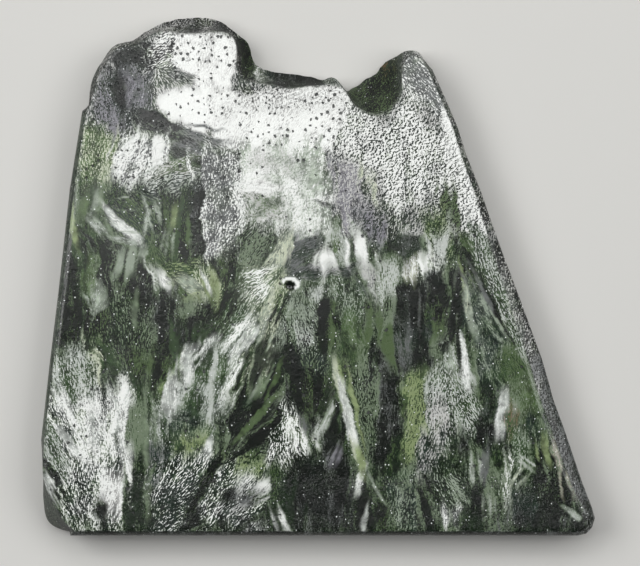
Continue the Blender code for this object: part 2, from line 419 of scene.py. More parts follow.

# The smooth white patch, partly painted highlight, the lilac patches beside it and the unpolished stone round
# them, whose white is partly painted highlight too.
TOP_AND_CENTRE = (
    Plume(WHITE, MIST, (-2.6, -49.8), ((-11.4, 19.5), (-8.5, 19.9), (-4.9, 21), (0.2, 21.3), (1.7, 17.9),
        (2.3, 13.3), (0.8, 7.2), (-2.6, 5.3), (-4.9, 6.5), (-10.3, 8.7), (-11.9, 13.3)), 0.4, 1.2, level=0.1),
    Plume(PEARL, MIST, (-10.3, 27.2), ((-10.3, 19.2), (-6.3, 19.2), (-2.6, 18.2), (-2.6, 16.1), (-7.5, 15.5),
        (-10.3, 16.4)), 0.3, 1.4, cover=0.8, level=0.3),
    Plume(PEARL, SAGE, (12.8, -3.6), ((-10.6, 12.4), (-4.9, 11.8), (-5.7, 9.3), (-8.5, 7.8),
        (-10.6, 9)), 0.7, 1, level=0.2),
    blade(WHITE, (-11.2, 13.9), (-7.9, 13.8), 1.4),
    Plume(WHITE, PEARL, (-2.6, 11.8), ((-0.2, 12.4), (1.7, 12.6), (2, 11.6),
        (0.8, 11)), 0.25, 0.3, level=0.5),
    deep(GREY, NIGHT, (-2.6, 11.8), ((0.5, 11), (2, 11.2), (2.2, 9.8), (0.9, 9.5)), 0.3, level=-0.22),
    blade(WHITE, (-11.2, 13.9), (-8.5, 13.8), 0.9),
    Plume(WHITE, PEARL, (-13.4, 13.9), ((-10.9, 14.9), (-9.4, 15.8), (-7.2, 14.9), (-6.3, 13.3), (-8.5, 12.4),
        (-10.6, 12.7)), 0.4, 1, level=0.35),
    Plume(WHITE, MIST, (-1.7, 17.9), ((-2.9, 10.9), (-1.1, 11.8), (0.2, 9.3), (-1.1, 6.2),
        (-3.2, 7.5)), 0.5, 0.8, cover=0.8, level=0.08),
    Plume(SAGE, MOSS, (-13.4, 5.6), ((-10.3, 10.5), (-7.5, 10.9), (-6.6, 9.3), (-8.2, 7.8),
        (-10, 8.4)), 0.7, 0.8, cover=0.6, level=-0.11),
    Plume(PEARL, LILAC, (5.1, -19), ((1.7, 17.9), (6.3, 17.9), (8.5, 7.9), (4.8, 7.2),
        (2.3, 11)), 0.7, 0.8, level=0.02),
    Plume(CREAM, MIST, (7.4, 24.1), ((6.8, 17), (8.2, 15.5), (9.1, 11.2), (7.5, 10.9)), 0.25, 0.3, level=0.6),
    # Unpolished stone across the top right: partly painted highlight, with painted shade in its grains.
    Plume(WHITE, SLATE, (12.8, -65.2), ((4.5, 26.6), (9.7, 23.5), (13.4, 27.2), (20.5, 21), (24.2, 14.9),
        (26.6, 6.2), (21.3, 6.9), (17.4, 11.8), (12, 9.5), (9.4, 14.9), (5.1, 17.9),
        (2, 19.5)), 0.7, 0.7, level=0.27),
    Plume(WHITE, GREY, (0.5, 48.7), ((13.4, 33.3), (16.2, 34), (18.3, 29.6), (19.9, 25.3), (18.3, 24.4),
        (14.6, 26.6), (13.1, 28.7)), 0.7, 0.7, level=0.01),
    Plume(WHITE, GREY, (12.8, -65.2), ((18.9, 25.3), (20.5, 24.7), (23.6, 17), (26.6, 7.5), (24.2, 6.9),
        (21.4, 15.5), (19.2, 21.6)), 0.25, 0.5, level=0.6),
    Plume(WHITE, SLATE, (15.9, 58), ((16.5, 17), (18.9, 16.4), (19.9, 14.9), (17.7, 13.3),
        (15.9, 14.9)), 0.7, 0.5, level=0.31),
    Plume(OLIVE, NIGHT, (18.9, 27.2), ((18.3, 13.9), (21.1, 13), (21.4, 9.6), (22.3, 6.9), (20.2, 6.9),
        (18.6, 10.2)), 0.7, 0.5, level=0.6),
    Plume(LEAFY, MOSS, (18.9, 27.2), ((15.9, 8.4), (18.6, 9.6), (20.2, 7.2), (19.9, 3.2),
        (17.4, 3.8)), 0.7, 0.5, level=-0.09),
    film(GREY, DEEP, (12.8, -19), ((11.7, 6.2), (15.6, 5.6), (15.9, 1.6), (13.4, 0.1),
        (12.2, 3.8)), 0.25, 0.5, level=-0.29),
    Plume(LILAC, SLATE, (6.6, -19), ((5.9, 10.5), (8.9, 10.2), (10.6, 5.6), (8.2, 5.2),
        (6.3, 7.8)), 0.7, 0.5, level=0.31),
    Plume(SILVER, OLIVE, (3.5, 11.8), ((2, 6.9), (5.1, 7.8), (5.1, 2.2), (2.5, 2.2)), 0.25, 0.5, level=0.4),
    Plume(GREY, SLATE, (-14.9, -3.6), ((-4.8, 5.6), (-0.5, 6.9), (0.5, 4.7), (-1.1, 1.6), (2, 0.7),
        (5.7, 1.3), (6.3, -1), (-0.8, -1.2), (-4.8, 0.4), (-5.4, 3.3)), 0.25, 0.5, level=-0.01),
    Plume(WHITE, PEARL, (1.2, 11.8), ((1.2, 5.3), (2, 3.8), (2.9, 1.6), (1.1, 1), (-0.9, 2.2),
        (0.2, 3.8)), 0.3, 0.2, level=0.6),
    Plume(WHITE, PEARL, (4.3, 16.4), ((5.1, 5.8), (6.2, 5.9), (7.5, 4.1), (9.2, 2.2), (8.6, 1.5), (6.9, 2.2),
        (5.7, 1.5), (4.9, 3.2)), 0.3, 0.2, level=0.6),
    Plume(PEARL, LILAC, (4.3, 16.4), ((6, 2.2), (8.5, 2.1), (9.9, 0.4), (9.9, -3.2), (8.6, -3.9), (7.2, -1.5),
        (6.2, 0.2)), 0.5, 0.5, level=0.6),
    film(GREY, SLATE, (5.1, 2.5), ((6.2, -0.2), (7.5, -2.4), (8.2, -4.5), (7.2, -5.5),
        (5.7, -2.1)), 0.25, 0.4),
    Plume(CREAM, MIST, (-2.6, 11.8), ((-6, 5.9), (-3.7, 6.7), (-4.2, 3.2), (-5.7, 0.7), (-7.5, 1.3),
        (-6.8, 3.8)), 0.7, 0.5, level=0.2),
    Plume(SAGE, DEEP, (-25.7, -12.9), ((-12.2, 7.8), (-6.3, 7.8), (-6.6, 3.2), (-8.5, 1.3), (-11.9, 1.6),
        (-12.6, 4.9)), 0.7, 0.7, level=0.18),
    Plume(SILVER, MOSS, (18.9, -11.3), ((17.1, 6.9), (20.2, 7.8), (21.1, 2.5), (17.7, 0.7),
        (16.6, 4.1)), 0.3, 0.7, level=0.6),
    Plume(WHITE, SLATE, (18.9, -11.3), ((15.6, 2.8), (20.2, 1.9), (18.9, -0.8),
        (15.6, -0.2)), 0.25, 0.5, level=0.25),
    Plume(WHITE, CREAM, (14.3, -11.3), ((12.5, 1.3), (15.4, 1.9), (15.6, -1.5),
        (12.9, -1.3)), 0.7, 0.3, level=0.55),
    Plume(SILVER, OLIVE, (10.5, -19), ((9.2, 2.2), (12.5, 1.9), (12.8, -3.9), (10.3, -5.5),
        (8.5, -2.1)), 0.6, 0.7, level=0.29),
)

LEFT = (
    Plume(OLIVE, MOSS, (-34.2, -12.9), ((-38, 13.9), (-31.9, 13.3), (-31.6, 9.5), (-33.4, 8.4), (-35.9, 2.2),
        (-37.7, 2.5)), 0.7, 0.7, level=-0.34),
    Plume(SAGE, MOSS, (-36.5, -22.1), ((-37.9, 13.6), (-36.2, 14.1), (-36.2, 6.4), (-35.9, 2.2), (-37.4, 2.8),
        (-38, 6.4)), 0.25, 0.3, level=-0.18),
    deep(OLIVE, NIGHT, (-35.6, -22.1), ((-36.2, 13.6), (-35, 13.3), (-35.3, 2.2), (-36, 2.2)), 0.3),
    blade(MOSS, (-34, 14.2), (-34.6, 8.1), 1.2),
    blade(SAGE, (-32.2, 13.3), (-33.1, 9), 1.4),
    Plume(OLIVE, SLATE, (-36.5, 19.5), ((-31.6, 13.3), (-23.9, 12.7), (-24.2, 9.5), (-25.4, 4.7),
        (-28.8, 4.4), (-32.5, 5.9), (-34.6, 8.4), (-32.8, 9.6), (-31.6, 11)), 0.7, 0.7, level=-0.18),
    blade(WHITE, (-32, 11.2), (-29.7, 8.9), 1.2),
    blade(WHITE, (-28.8, 12.1), (-26.8, 10.1), 0.9),
    blade(WHITE, (-30.5, 7.9), (-27.7, 5.5), 0.8),
    blade(SILVER, (-34.6, 8.4), (-32.5, 6.2), 0.8),
    blade(SILVER, (-25.1, 10.2), (-26.2, 6.2), 1.2),
    blade(SILVER, (-31.9, 10.7), (-25.7, 11.3), 0.6, -0.8),
    blade(SAGE, (-32.8, 8.4), (-31.6, 6.1), 0.6, 0.5),
    blade(SILVER, (-31.6, 6.7), (-26.9, 5.8), 0.6, 0.6),
    blade(SILVER, (-25.9, 11.2), (-24.9, 7.2), 0.6, -0.6),
    blade(MIST, (-30.6, 9.5), (-27.3, 9.9), 0.5, -0.5),
    blade(MIST, (-30.3, 7.5), (-26.9, 7.9), 0.5, 0.5),
    blade(MIST, (-34.8, 9.3), (-33.9, 13.6), 0.6, 0.2),
    blade(MIST, (-34, 9.2), (-32.6, 13), 0.6, 0.2),
    blade(OLIVE, (-35.6, 8.4), (-34.8, 12.4), 0.6),
    blade(LEAFY, (-37.6, 12.1), (-36.2, 4.7), 0.9, -0.2),
    deep(GREY, NIGHT, (-39.6, 11.8), ((-35.4, 6.9), (-33.9, 6.5), (-32.5, 4.2), (-33.7, 3.8),
        (-35.6, 3.8)), 0.5),
    deep(GREY, NIGHT, (-39.6, 11.8), ((-32.2, 6.2), (-27.3, 5), (-28.2, 3.5), (-31.9, 3.8)), 0.5),
    deep(OLIVE, NIGHT, (-37.3, -34.4), ((-39.4, 4.7), (-37.6, 3.8), (-36.8, -2.1), (-37.1, -5.5), (-40, -5.5),
        (-39.6, 1)), 0.7),
    Plume(SAGE, OLIVE, (-35, -22.1), ((-36.3, 2.5), (-33.7, 3.2), (-33.4, -2.1), (-34.6, -3.6),
        (-36.2, -2.4)), 0.7, 0.5, level=-0.05),
    deep(SAGE, NIGHT, (-31.9, -22.1), ((-33.4, 4.4), (-27.3, 4.1), (-27.6, -3.6), (-32.8, -3.9),
        (-33.7, 1)), 0.7),
    blade(SAGE, (-31.3, 3.8), (-31.9, -0.8), 0.9),
    blade(MIST, (-29.9, 3.2), (-30.5, 0.4), 0.6),
    blade(MIST, (-28.3, 4.4), (-29.1, 0.1), 0.9),
    blade(MIST, (-26.5, 4.4), (-27.3, 1.9), 0.8),
    deep(SAGE, NIGHT, (-25.7, 11.8), ((-27.7, 2.2), (-25.7, 2.5), (-25.1, -1), (-22.3, -1.8), (-21.4, -3.9),
        (-23.4, -4.1), (-25.7, -2.5), (-27.6, -2.2)), 0.7, level=-0.33),
    Plume(WHITE, SILVER, (-27.3, 5.6), ((-25.7, 1.8), (-23.6, 1.3), (-21.7, -0.5), (-22.6, -1.9),
        (-24.5, -1.2), (-25.7, 0.1)), 0.25, 0.5, level=0.43),
    Plume(OLIVE, DEEP, (-22.6, -15.9), ((-24.2, 13), (-19.9, 13.3), (-19.6, 4.9), (-22.3, 1.9), (-25.4, 2.2),
        (-24.2, 7.5)), 0.7, 0.7, level=-0.28),
    blade(LEAFY, (-21.7, 10.5), (-22.2, 7.2), 1.2),
    blade(MIST, (-22.3, 7.2), (-22.6, 3.2), 0.9),
    blade(OLIVE, (-22.5, 3), (-23.1, 10.9), 0.8, 0.2),
    blade(MOSS, (-21.6, 2.8), (-20.6, 11.2), 0.8, -0.3),
    blade(OLIVE, (-20.2, 3.2), (-19.1, 9.6), 0.6, -0.3),
    blade(OLIVE, (-23.6, 4.1), (-24.3, 9.5), 0.6, 0.2),
    Plume(OLIVE, MOSS, (-25.7, 7.2), ((-25.7, 5), (-22.9, 4.7), (-22.9, 2.2),
        (-25.4, 2.2)), 0.7, 0.5, level=-0.08),
    deep(OLIVE, NIGHT, (-19.6, -15.9), ((-20.6, 5.9), (-18.3, 4.4), (-18.6, 1.9), (-20.8, 2.2)), 0.5),
    Plume(LEAFY, MOSS, (-31.9, 1), ((-23.9, 2.5), (-18.3, 2.5), (-18.6, 0.1), (-21.1, -1.5),
        (-22.9, 1.3)), 0.7, 0.7, level=0.05),
    Plume(SAGE, OLIVE, (-19.6, -19), ((-21.3, -0.8), (-18, -0.5), (-17.7, -3.6), (-19.2, -4.2),
        (-21.1, -3.6)), 0.7, 0.5, level=-0.36),
    Plume(CREAM, MOSS, (-16.2, -19), ((-17.9, 0.8), (-15.6, 1.3), (-15.4, -2.1), (-14.8, -3), (-16.2, -5.5),
        (-18.5, -5.5), (-17.7, -2.7)), 0.7, 0.5, level=-0.01),
    blade(LEAFY, (-21.4, -3.6), (-20.9, -0.7), 0.6, -0.6),
    blade(CREAM, (-20.5, -0.8), (-18.3, -2.5), 0.6, -0.6),
    blade(LEAFY, (-20.6, -3.8), (-18.5, -3.3), 0.5, 0.5),
    blade(LEAFY, (-15.9, -5.3), (-17.7, 0.1), 0.8),
    blade(LEAFY, (-15.1, -4.9), (-16, 0.7), 0.8),
    blade(SAGE, (-16.5, -5.6), (-18.6, -2.1), 0.6),
    blade(WHITE, (-15.6, -3.2), (-16.9, 0.7), 0.5),
    Plume(OLIVE, NIGHT, (-31.9, -22.1), ((-35, -4.9), (-29.4, -3.6), (-30, -8.2), (-33.1, -10.7),
        (-35.3, -9.2)), 0.7, 0.7, level=-0.16),
    Plume(SILVER, MIST, (-34.2, -6.7), ((-35, -2.4), (-33.1, -2.8), (-32.6, -4.9), (-33.9, -5.5),
        (-35.1, -3.9)), 0.7, 0.5, level=-0.5),
    deep(OLIVE, NIGHT, (-38, -34.4), ((-40.2, -3.9), (-36.2, -3.3), (-35.3, -6.7), (-35.9, -11.6),
        (-40.5, -11.3)), 0.7),
    deep(GREY, NIGHT, (-24.9, -22.1), ((-27.3, -2.1), (-21.4, -3.9), (-21.1, -8.2), (-22.3, -11.3),
        (-24.5, -10.7), (-26.8, -6.7)), 0.7),
    Plume(SAGE, DEEP, (-28, -22.1), ((-31.1, -3.6), (-26.5, -3.6), (-25.4, -7.9), (-24.5, -11), (-25.4, -15),
        (-29.1, -15.3), (-31.4, -10.5)), 0.7, 0.7, level=-0.28),
    blade(SAGE, (-27.6, -3.3), (-27.7, -7.3), 1.2),
    deep(SAGE, NIGHT, (-19.6, -19), ((-22.9, -3.6), (-17.1, -4.4), (-17.1, -7), (-18.6, -8.5),
        (-21.7, -7)), 0.7, level=-0.21),
    deep(OLIVE, NIGHT, (-23.6, -34.4), ((-24.6, -8.2), (-22.6, -7.9), (-22.2, -15.3), (-24.2, -15)), 0.3),
    Plume(OLIVE, MOSS, (-21.4, -34.4), ((-22.5, -8.2), (-19.9, -7.9), (-20.2, -11.6),
        (-22.3, -15.6)), 0.25, 0.5, level=-0.5),
    deep(GREY, NIGHT, (-19.6, -34.4), ((-21.1, -7.6), (-18, -8.2), (-17.4, -10.7), (-19.9, -11.3)), 0.5),
    deep(SAGE, NIGHT, (-22.6, -19), ((-17.6, -8.9), (-15.9, -4.5), (-14.3, -2.1), (-11.2, -0.2),
        (-10.9, -3.6), (-13.7, -8.5), (-16.2, -11.3)), 0.7, level=-0.22),
    Plume(MIST, MOSS, (-21.1, -22.1), ((-14.6, -9.2), (-12.5, -4.5), (-10, -3.6), (-10.6, -6.4),
        (-12.5, -8.9), (-14, -10.4)), 0.7, 0.5, level=-0.24),
    Plume(OLIVE, MOSS, (-22.6, -19), ((-18.3, -8.9), (-16.2, -7), (-16.2, -9.8),
        (-18.3, -11.3)), 0.25, 0.5, level=-0.27),
)

LOWER_LEFT = (
    Plume(CREAM, MOSS, (-34.2, -37.5), ((-35.4, -10.5), (-33.7, -10.4), (-32.5, -15.2), (-33.6, -17.8),
        (-35.6, -14.7)), 0.25, 0.5, level=0.47),
    Plume(OLIVE, MOSS, (-25.7, -29.8), ((-33.7, -10.7), (-31.6, -11.3), (-28.8, -15), (-26.3, -16.7),
        (-24, -19), (-25.7, -21.2), (-28, -17.9), (-31.6, -15.3)), 0.25, 0.5, level=-0.5),
    deep(OLIVE, NIGHT, (-27.3, -25.2), ((-31.6, -11.3), (-24.5, -11.3), (-23.3, -14.7), (-25.7, -16.2),
        (-29.1, -14.9)), 0.5, level=-0.29),
    deep(OLIVE, NIGHT, (-27.3, -25.2), ((-25.6, -16.6), (-23.4, -13.9), (-22.8, -15.9), (-24.8, -18.4)), 0.3),
    Plume(LEAFY, OLIVE, (-27.3, -25.2), ((-23.4, -15.3), (-20.8, -11.3), (-20.5, -13.2), (-22, -16.6),
        (-24.5, -19.3), (-25.7, -19.8)), 0.25, 0.5, level=-0.3),
    Plume(WHITE, SILVER, (-25.7, -25.2), ((-20.6, -11.6), (-17.1, -10.1), (-15.1, -8.9), (-16.2, -11.6),
        (-18.6, -13.2), (-19.6, -15.3), (-20.5, -15.3)), 0.7, 0.3, level=0.43),
    Plume(SILVER, MOSS, (-32.2, -40.6), ((-40.7, -11.9), (-38, -11.6), (-35.6, -11.3), (-33.6, -15.6),
        (-31.9, -18.7), (-34, -25.2), (-37.7, -22.1), (-39.9, -17.8), (-41.3, -15.9)), 0.7, 0.7, level=0.14),
    Plume(WHITE, SLATE, (-32.2, -43.7), ((-41.4, -15.9), (-37.7, -20.6), (-34.6, -18.2), (-31.9, -17.2),
        (-28.5, -17.2), (-28.2, -22.1), (-28.8, -29.8), (-29.1, -34.4), (-31.6, -37.5), (-35.7, -36.7),
        (-38.3, -32.1), (-40.8, -25.2)), 0.45, 0.5, level=0.17),
    blade(WHITE, (-40.7, -15.6), (-37.4, -22.4), 1.7),
    blade(WHITE, (-39.3, -23.3), (-35.6, -28), 1.5),
    blade(WHITE, (-33.4, -17.8), (-33.9, -28), 2),
    blade(WHITE, (-29.3, -17.2), (-29.4, -30.7), 2),
    blade(WHITE, (-31.6, -17.8), (-30.2, -20.9), 0.9),
    blade(WHITE, (-30.3, -27.5), (-31.6, -32.3), 1.4),
    blade(GREY, (-31.4, -24.9), (-32.5, -28.6), 0.9),
    Plume(SILVER, MOSS, (-30.3, -43.7), ((-41.9, -21.3), (-39.6, -23.3), (-37.1, -27.5), (-36.2, -31.6),
        (-37.4, -34.7), (-39.6, -31.3), (-41.1, -28.9), (-42.4, -26.4)), 0.7, 0.5, level=0.04),
    deep(SAGE, NIGHT, (-31.9, -43.7), ((-42, -27), (-40.8, -28.6), (-39.1, -32.1), (-38.3, -35.3),
        (-39, -37.2), (-40.3, -34.7), (-41.6, -31.6), (-42.4, -29)), 0.5),
    Plume(WHITE, SLATE, (-35, -49.8), ((-38, -27.6), (-34.6, -29.5), (-31.9, -28.6), (-29.1, -27.6),
        (-28.6, -32.9), (-28.6, -38.6), (-31.6, -39.2), (-37.3, -39), (-38.3, -36.3),
        (-38.7, -31.6)), 0.7, 0.7, level=-0.09),
    Plume(WHITE, PEARL, (-32.6, -49.8), ((-32.8, -31.6), (-29.1, -29.8), (-28.8, -34.4), (-30.6, -36.3),
        (-33.1, -34.4)), 0.7, 0.7, level=0.48),
    deep(GREY, NIGHT, (-32.6, -49.8), ((-34.6, -34.1), (-32.2, -34.4), (-31.4, -38.3), (-34.2, -38.7),
        (-35.9, -36.3)), 0.7),
    blade(WHITE, (-42.5, -30.1), (-40.2, -34.9), 0.5),
    Plume(SAGE, DEEP, (-27.3, -80.6), ((-28.6, -18.7), (-25.7, -18.1), (-25.4, -26.7), (-25.1, -39.2),
        (-28.8, -39.2), (-29, -32.9), (-28.5, -26.7)), 0.25, 0.5, level=-0.17),
    Plume(SAGE, MOSS, (-27.3, -80.6), ((-28.6, -19.6), (-26.3, -19), (-26.6, -25.2),
        (-28.3, -25.8)), 0.7, 0.5, level=0.34),
    blade(SAGE, (-26, -30.4), (-26, -36.3), 0.8),
    blade(SAGE, (-25.7, -18.4), (-25.3, -28.9), 1.1),
)

LEFT_OF_MIDDLE = (
    Plume(SILVER, MOSS, (-22.6, -43.7), ((-24.8, -19.6), (-21.7, -16.6), (-19.6, -12.9), (-15.9, -11),
        (-13.4, -11.3), (-13.7, -19), (-13.1, -25.2), (-14, -27.6), (-18, -26.1), (-22.3, -27.6),
        (-24.8, -26.1)), 0.25, 0.5, level=-0.19),
    Plume(MIST, SLATE, (-22.6, -43.7), ((-22.9, -20.9), (-17.2, -20.9), (-16.5, -24.6), (-21.1, -25.2),
        (-23.3, -23.6)), 0.25, 0.7, level=-0.17),
    blade(WHITE, (-20, -12.2), (-20.2, -15.9), 1.4),
    blade(SILVER, (-15.4, -11.6), (-16.5, -21.8), 0.9),
    blade(WHITE, (-22.2, -15.9), (-22.9, -20.9), 0.9),
    Plume(LEAFY, MOSS, (-21.1, -49.8), ((-22.6, -24.6), (-15.9, -24.3), (-14, -27.6), (-18, -27.8),
        (-22.3, -27.8)), 0.35, 0.7, level=-0.05),
    Plume(SAGE, DEEP, (-15.7, -49.8), ((-15.6, -22.1), (-12.8, -22.7), (-13.1, -26.1), (-14.6, -28),
        (-15.9, -26.1)), 0.3, 0.7, level=0.42),
    blade(WHITE, (-15.6, -25.2), (-16.3, -28.9), 1.2),
    Plume(GREY, SLATE, (-24.2, -65.2), ((-25.3, -26.1), (-22.3, -26.7), (-22.3, -31),
        (-24.9, -32.3)), 0.7, 0.7, level=-0.1),
    Plume(WHITE, SLATE, (-30.3, -43.7), ((-24.6, -29.8), (-22.3, -28), (-18, -27.6), (-14.6, -28.1),
        (-16.2, -29.8), (-17.7, -32.3), (-18.6, -36.7), (-20.8, -39.2), (-24.9, -39.2),
        (-25.3, -32.9)), 0.7, 0.7, level=-0.26),
    deep(GREY, NIGHT, (-24.2, -43.7), ((-20.2, -35.3), (-18.5, -33.2), (-18.5, -38.6),
        (-20.8, -38.7)), 0.5, level=-0.22),
    deep(OLIVE, NIGHT, (-24.2, -43.7), ((-14.6, -27.3), (-13.4, -28.6), (-15.7, -31.6), (-17.6, -34.4),
        (-19.1, -39.2), (-20.8, -39.2), (-19.6, -35.3), (-17.7, -31.6), (-15.9, -29.2)), 0.5),
    Plume(WHITE, SLATE, (-22.6, -45.2), ((-13.7, -29.2), (-8.5, -29.5), (-7.4, -31.3), (-7.7, -33.6),
        (-9.7, -38.6), (-17.2, -39.2), (-17.6, -36.3), (-15.7, -32.9)), 0.7, 0.5, level=-0.04),
    Plume(WHITE, SILVER, (-22.6, -45.2), ((-12.2, -31.3), (-7.7, -30.4), (-7.5, -33),
        (-10.3, -32.9)), 0.7, 0.5, level=0.6),
    deep(GREY, NIGHT, (-22.6, -45.2), ((-14, -32.9), (-9.4, -33.2), (-10.3, -35.7),
        (-13.7, -34.4)), 0.5, level=0.01),
    Plume(LEAFY, MOSS, (-18, -49.8), ((-13.6, -28.4), (-10.9, -28), (-7.2, -29.2), (-8.5, -30.4),
        (-13.1, -30.1)), 0.7, 0.5, level=0.36),
)

# The dark feather, and the stone between it and the foot.
LOWER_MIDDLE = (
    deep(SAGE, NIGHT, (-14.6, -31.3), ((-11.4, -9.8), (-8.2, -9.8), (-10, -18.4), (-12.2, -25.2),
        (-13.6, -26.4), (-14, -23.6), (-12.8, -17.8)), 0.4),
    deep(SAGE, NIGHT, (-14.6, -29.2), ((-8.5, -10.7), (-4.6, -11.3), (-5.2, -18.4), (-6.9, -26.7),
        (-11.9, -28.4), (-13.9, -27.6), (-12.5, -23.6), (-10, -18.4)), 0.5),
    blade(SLATE, (-5.1, -11.3), (-10.3, -19.6), 0.8),
    blade(MIST, (-6.5, -11.6), (-10, -18.4), 0.5),
    blade(NIGHT, (-6.2, -19.3), (-12.5, -24.6), 1.1),
    blade(DEEP, (-6.6, -14.1), (-10, -20.3), 0.8),
    blade(SAGE, (-5.1, -9.8), (-8.5, -17.8), 0.5),
    blade(OLIVE, (-4.2, -10.4), (-7.9, -19), 0.5),
    blade(SLATE, (-5.4, -17.8), (-12.8, -26.7), 0.8),
    blade(OLIVE, (-6.3, -18.7), (-11.9, -25.2), 0.4),
    blade(OLIVE, (-7.5, -23.9), (-12.2, -27.6), 0.6),
    Plume(WHITE, DEEP, (-5.1, -14.4), ((-5.5, -18.7), (-4, -20.6), (-2, -23), (-0.2, -25.2), (-0.8, -26.7),
        (-2.6, -29.8), (-5.1, -29.2), (-7.7, -28.6), (-7.2, -25.2), (-6.2, -22.1)), 0.7, 0.3, level=-0.18),
    Plume(WHITE, SAGE, (-5.1, -14.4), ((-5.1, -21.8), (-3.9, -22.4), (-2.6, -24.6), (-0.5, -25.8),
        (-1.7, -26.7), (-4.5, -25.2)), 0.45, 0.3, level=0.28),
    Plume(OLIVE, DEEP, (-5.1, -14.4), ((-7.5, -28.3), (-2.9, -30.1), (-3.7, -34.4), (-5.1, -36.3),
        (-7.2, -33.2)), 0.45, 0.5, level=-0.19),
    deep(GREY, NIGHT, (-1.1, -34.4), ((-4.9, -11.6), (-2.6, -11.6), (1.2, -15.2), (2.9, -16.6), (3.4, -19),
        (1.4, -21.5), (0.2, -26.1), (-1.4, -23.6), (-3.1, -19.8), (-4.5, -16.7)), 0.5, level=-0.25),
    blade(OLIVE, (3.5, -15), (0.2, -22.7), 1.1),
    blade(MOSS, (-4.9, -19.3), (0.2, -24.9), 0.8),
    deep(OLIVE, NIGHT, (-1.1, -34.4), ((-4.9, -11), (-2.6, -11), (-0.3, -14.4), (2.6, -14.7), (3.1, -16.9),
        (2, -19.8), (0, -21.8), (-1.5, -21.5), (-4.2, -18.7), (-5.4, -14.4)), 0.3),
    blade(DEEP, (2.3, -15.3), (0.2, -21.5), 1.4),
    Plume(SILVER, OLIVE, (0.2, -28.3), ((2.2, -19.6), (2.6, -21.5), (1.4, -24.6), (0.2, -25.8), (-0.6, -23),
        (0.5, -21.5)), 0.25, 0.3, level=0.49),
    Plume(SAGE, SLATE, (-1.1, -34.4), ((-3.7, -8.5), (1.7, -10.7), (2.6, -14.4), (0.8, -15.9),
        (-1.1, -13.5)), 0.7, 0.5, level=-0.2),
    blade(MIST, (2.6, -19.9), (0.3, -25.5), 0.9),
    deep(GREY, NIGHT, (3.5, -49.8), ((2.9, -19.3), (3.9, -25.2), (5.1, -28.9), (2.2, -30.1), (0.2, -28.6),
        (0.5, -26.1), (2, -23.6)), 0.5, level=-0.35),
    blade(LILAC, (2.9, -25.8), (0.8, -30.1), 1.2),
    Plume(OLIVE, MOSS, (5.1, -49.8), ((2, -12.2), (4.2, -13.5), (4.8, -15.9), (3.9, -17.8), (5.1, -27.6),
        (4, -26.7), (3.2, -19), (2.3, -14.7)), 0.3, 0.5, level=0.2),
    Plume(SAGE, DEEP, (6.9, 11.8), ((4.8, -10.5), (8.3, -11), (9.2, -19), (8.6, -27.6), (6.6, -28.3),
        (5.4, -23.6), (4.5, -15.9)), 0.7, 0.7, level=0.05),
    blade(CREAM, (2.8, -13.2), (6, -28), 0.9, -0.2),
    blade(LEAFY, (3.9, -13.8), (6.8, -27.6), 0.6, -0.2),
    blade(WHITE, (4, -16.9), (5.5, -25.2), 0.3, -0.2),
    deep(GREY, NIGHT, (10.9, 11.8), ((8.3, -10.5), (12.8, -11), (13.2, -19), (12.5, -25.2), (10.6, -30),
        (8.5, -28.4), (8.9, -20.6)), 0.7, level=-0.25),
    Plume(OLIVE, DEEP, (12, 11.8), ((12.2, -24.9), (13.6, -23.3), (13.9, -28.6), (11.7, -31.3), (10.3, -33.2),
        (10.8, -28.3)), 0.25, 0.5, level=-0.15),
    Plume(LEAFY, OLIVE, (14.3, 11.8), ((13.4, -15), (17.1, -14.1), (16.6, -17.8), (14.6, -19.3),
        (14.3, -25.2), (13.7, -29.5), (12.3, -30.1), (13.2, -23.6)), 0.25, 0.5, level=-0.22),
    deep(GREY, NIGHT, (1.2, -65.2), ((-3.2, -28), (5.1, -28.3), (6, -34.4), (4.8, -39.2), (-2.9, -39.2),
        (-5.1, -32.9)), 0.7),
    blade(SLATE, (-0.8, -29.8), (-0.6, -37.5), 0.8),
    blade(SLATE, (-2.9, -28.6), (-1.4, -32.3), 0.6),
    deep(SAGE, DEEP, (-2.6, -65.2), ((-5.4, -30.4), (-3.2, -31), (-2.3, -36.3), (-2.6, -37.8), (-7.2, -37.5),
        (-6.9, -34.4)), 0.5),
    deep(OLIVE, NIGHT, (8.2, -65.2), ((6.2, -33.2), (9.1, -32.6), (10.6, -39.2), (6, -39.2)), 0.5),
    blade(WHITE, (6.8, -28.9), (5.9, -32.9), 1.1),
    blade(LEAFY, (6.3, -27), (6.9, -30.1), 0.9),
    blade(MIST, (7.9, -30.1), (10.3, -34.7), 0.6),
    blade(LEAFY, (7.2, -28.9), (8.8, -31), 0.6),
    Plume(MIST, SLATE, (12.8, -65.2), ((10.3, -31.6), (14.6, -30.4), (15.2, -39.2), (11.6, -39.2),
        (10.5, -35.3)), 0.7, 0.5, level=-0.09),
    Plume(SAGE, SLATE, (13.6, -65.2), ((12.2, -30.4), (14.8, -30.4), (14.9, -34.4),
        (12.8, -33.5)), 0.25, 0.5, level=-0.04),
    blade(WHITE, (-6.3, -35.7), (-4.9, -39.7), 1.2),
    blade(WHITE, (7.5, -36.3), (6.9, -39.7), 1.4),
    blade(SILVER, (-4.8, -33.8), (-2.9, -36.3), 0.6),
    Plume(GREY, NIGHT, (-2.6, -96), ((-14, -38.1), (5.1, -38.1), (5.1, -40),
        (-14, -40)), 0.25, 0.5, cover=0.7, level=-0.36, bundles=1.6),
)

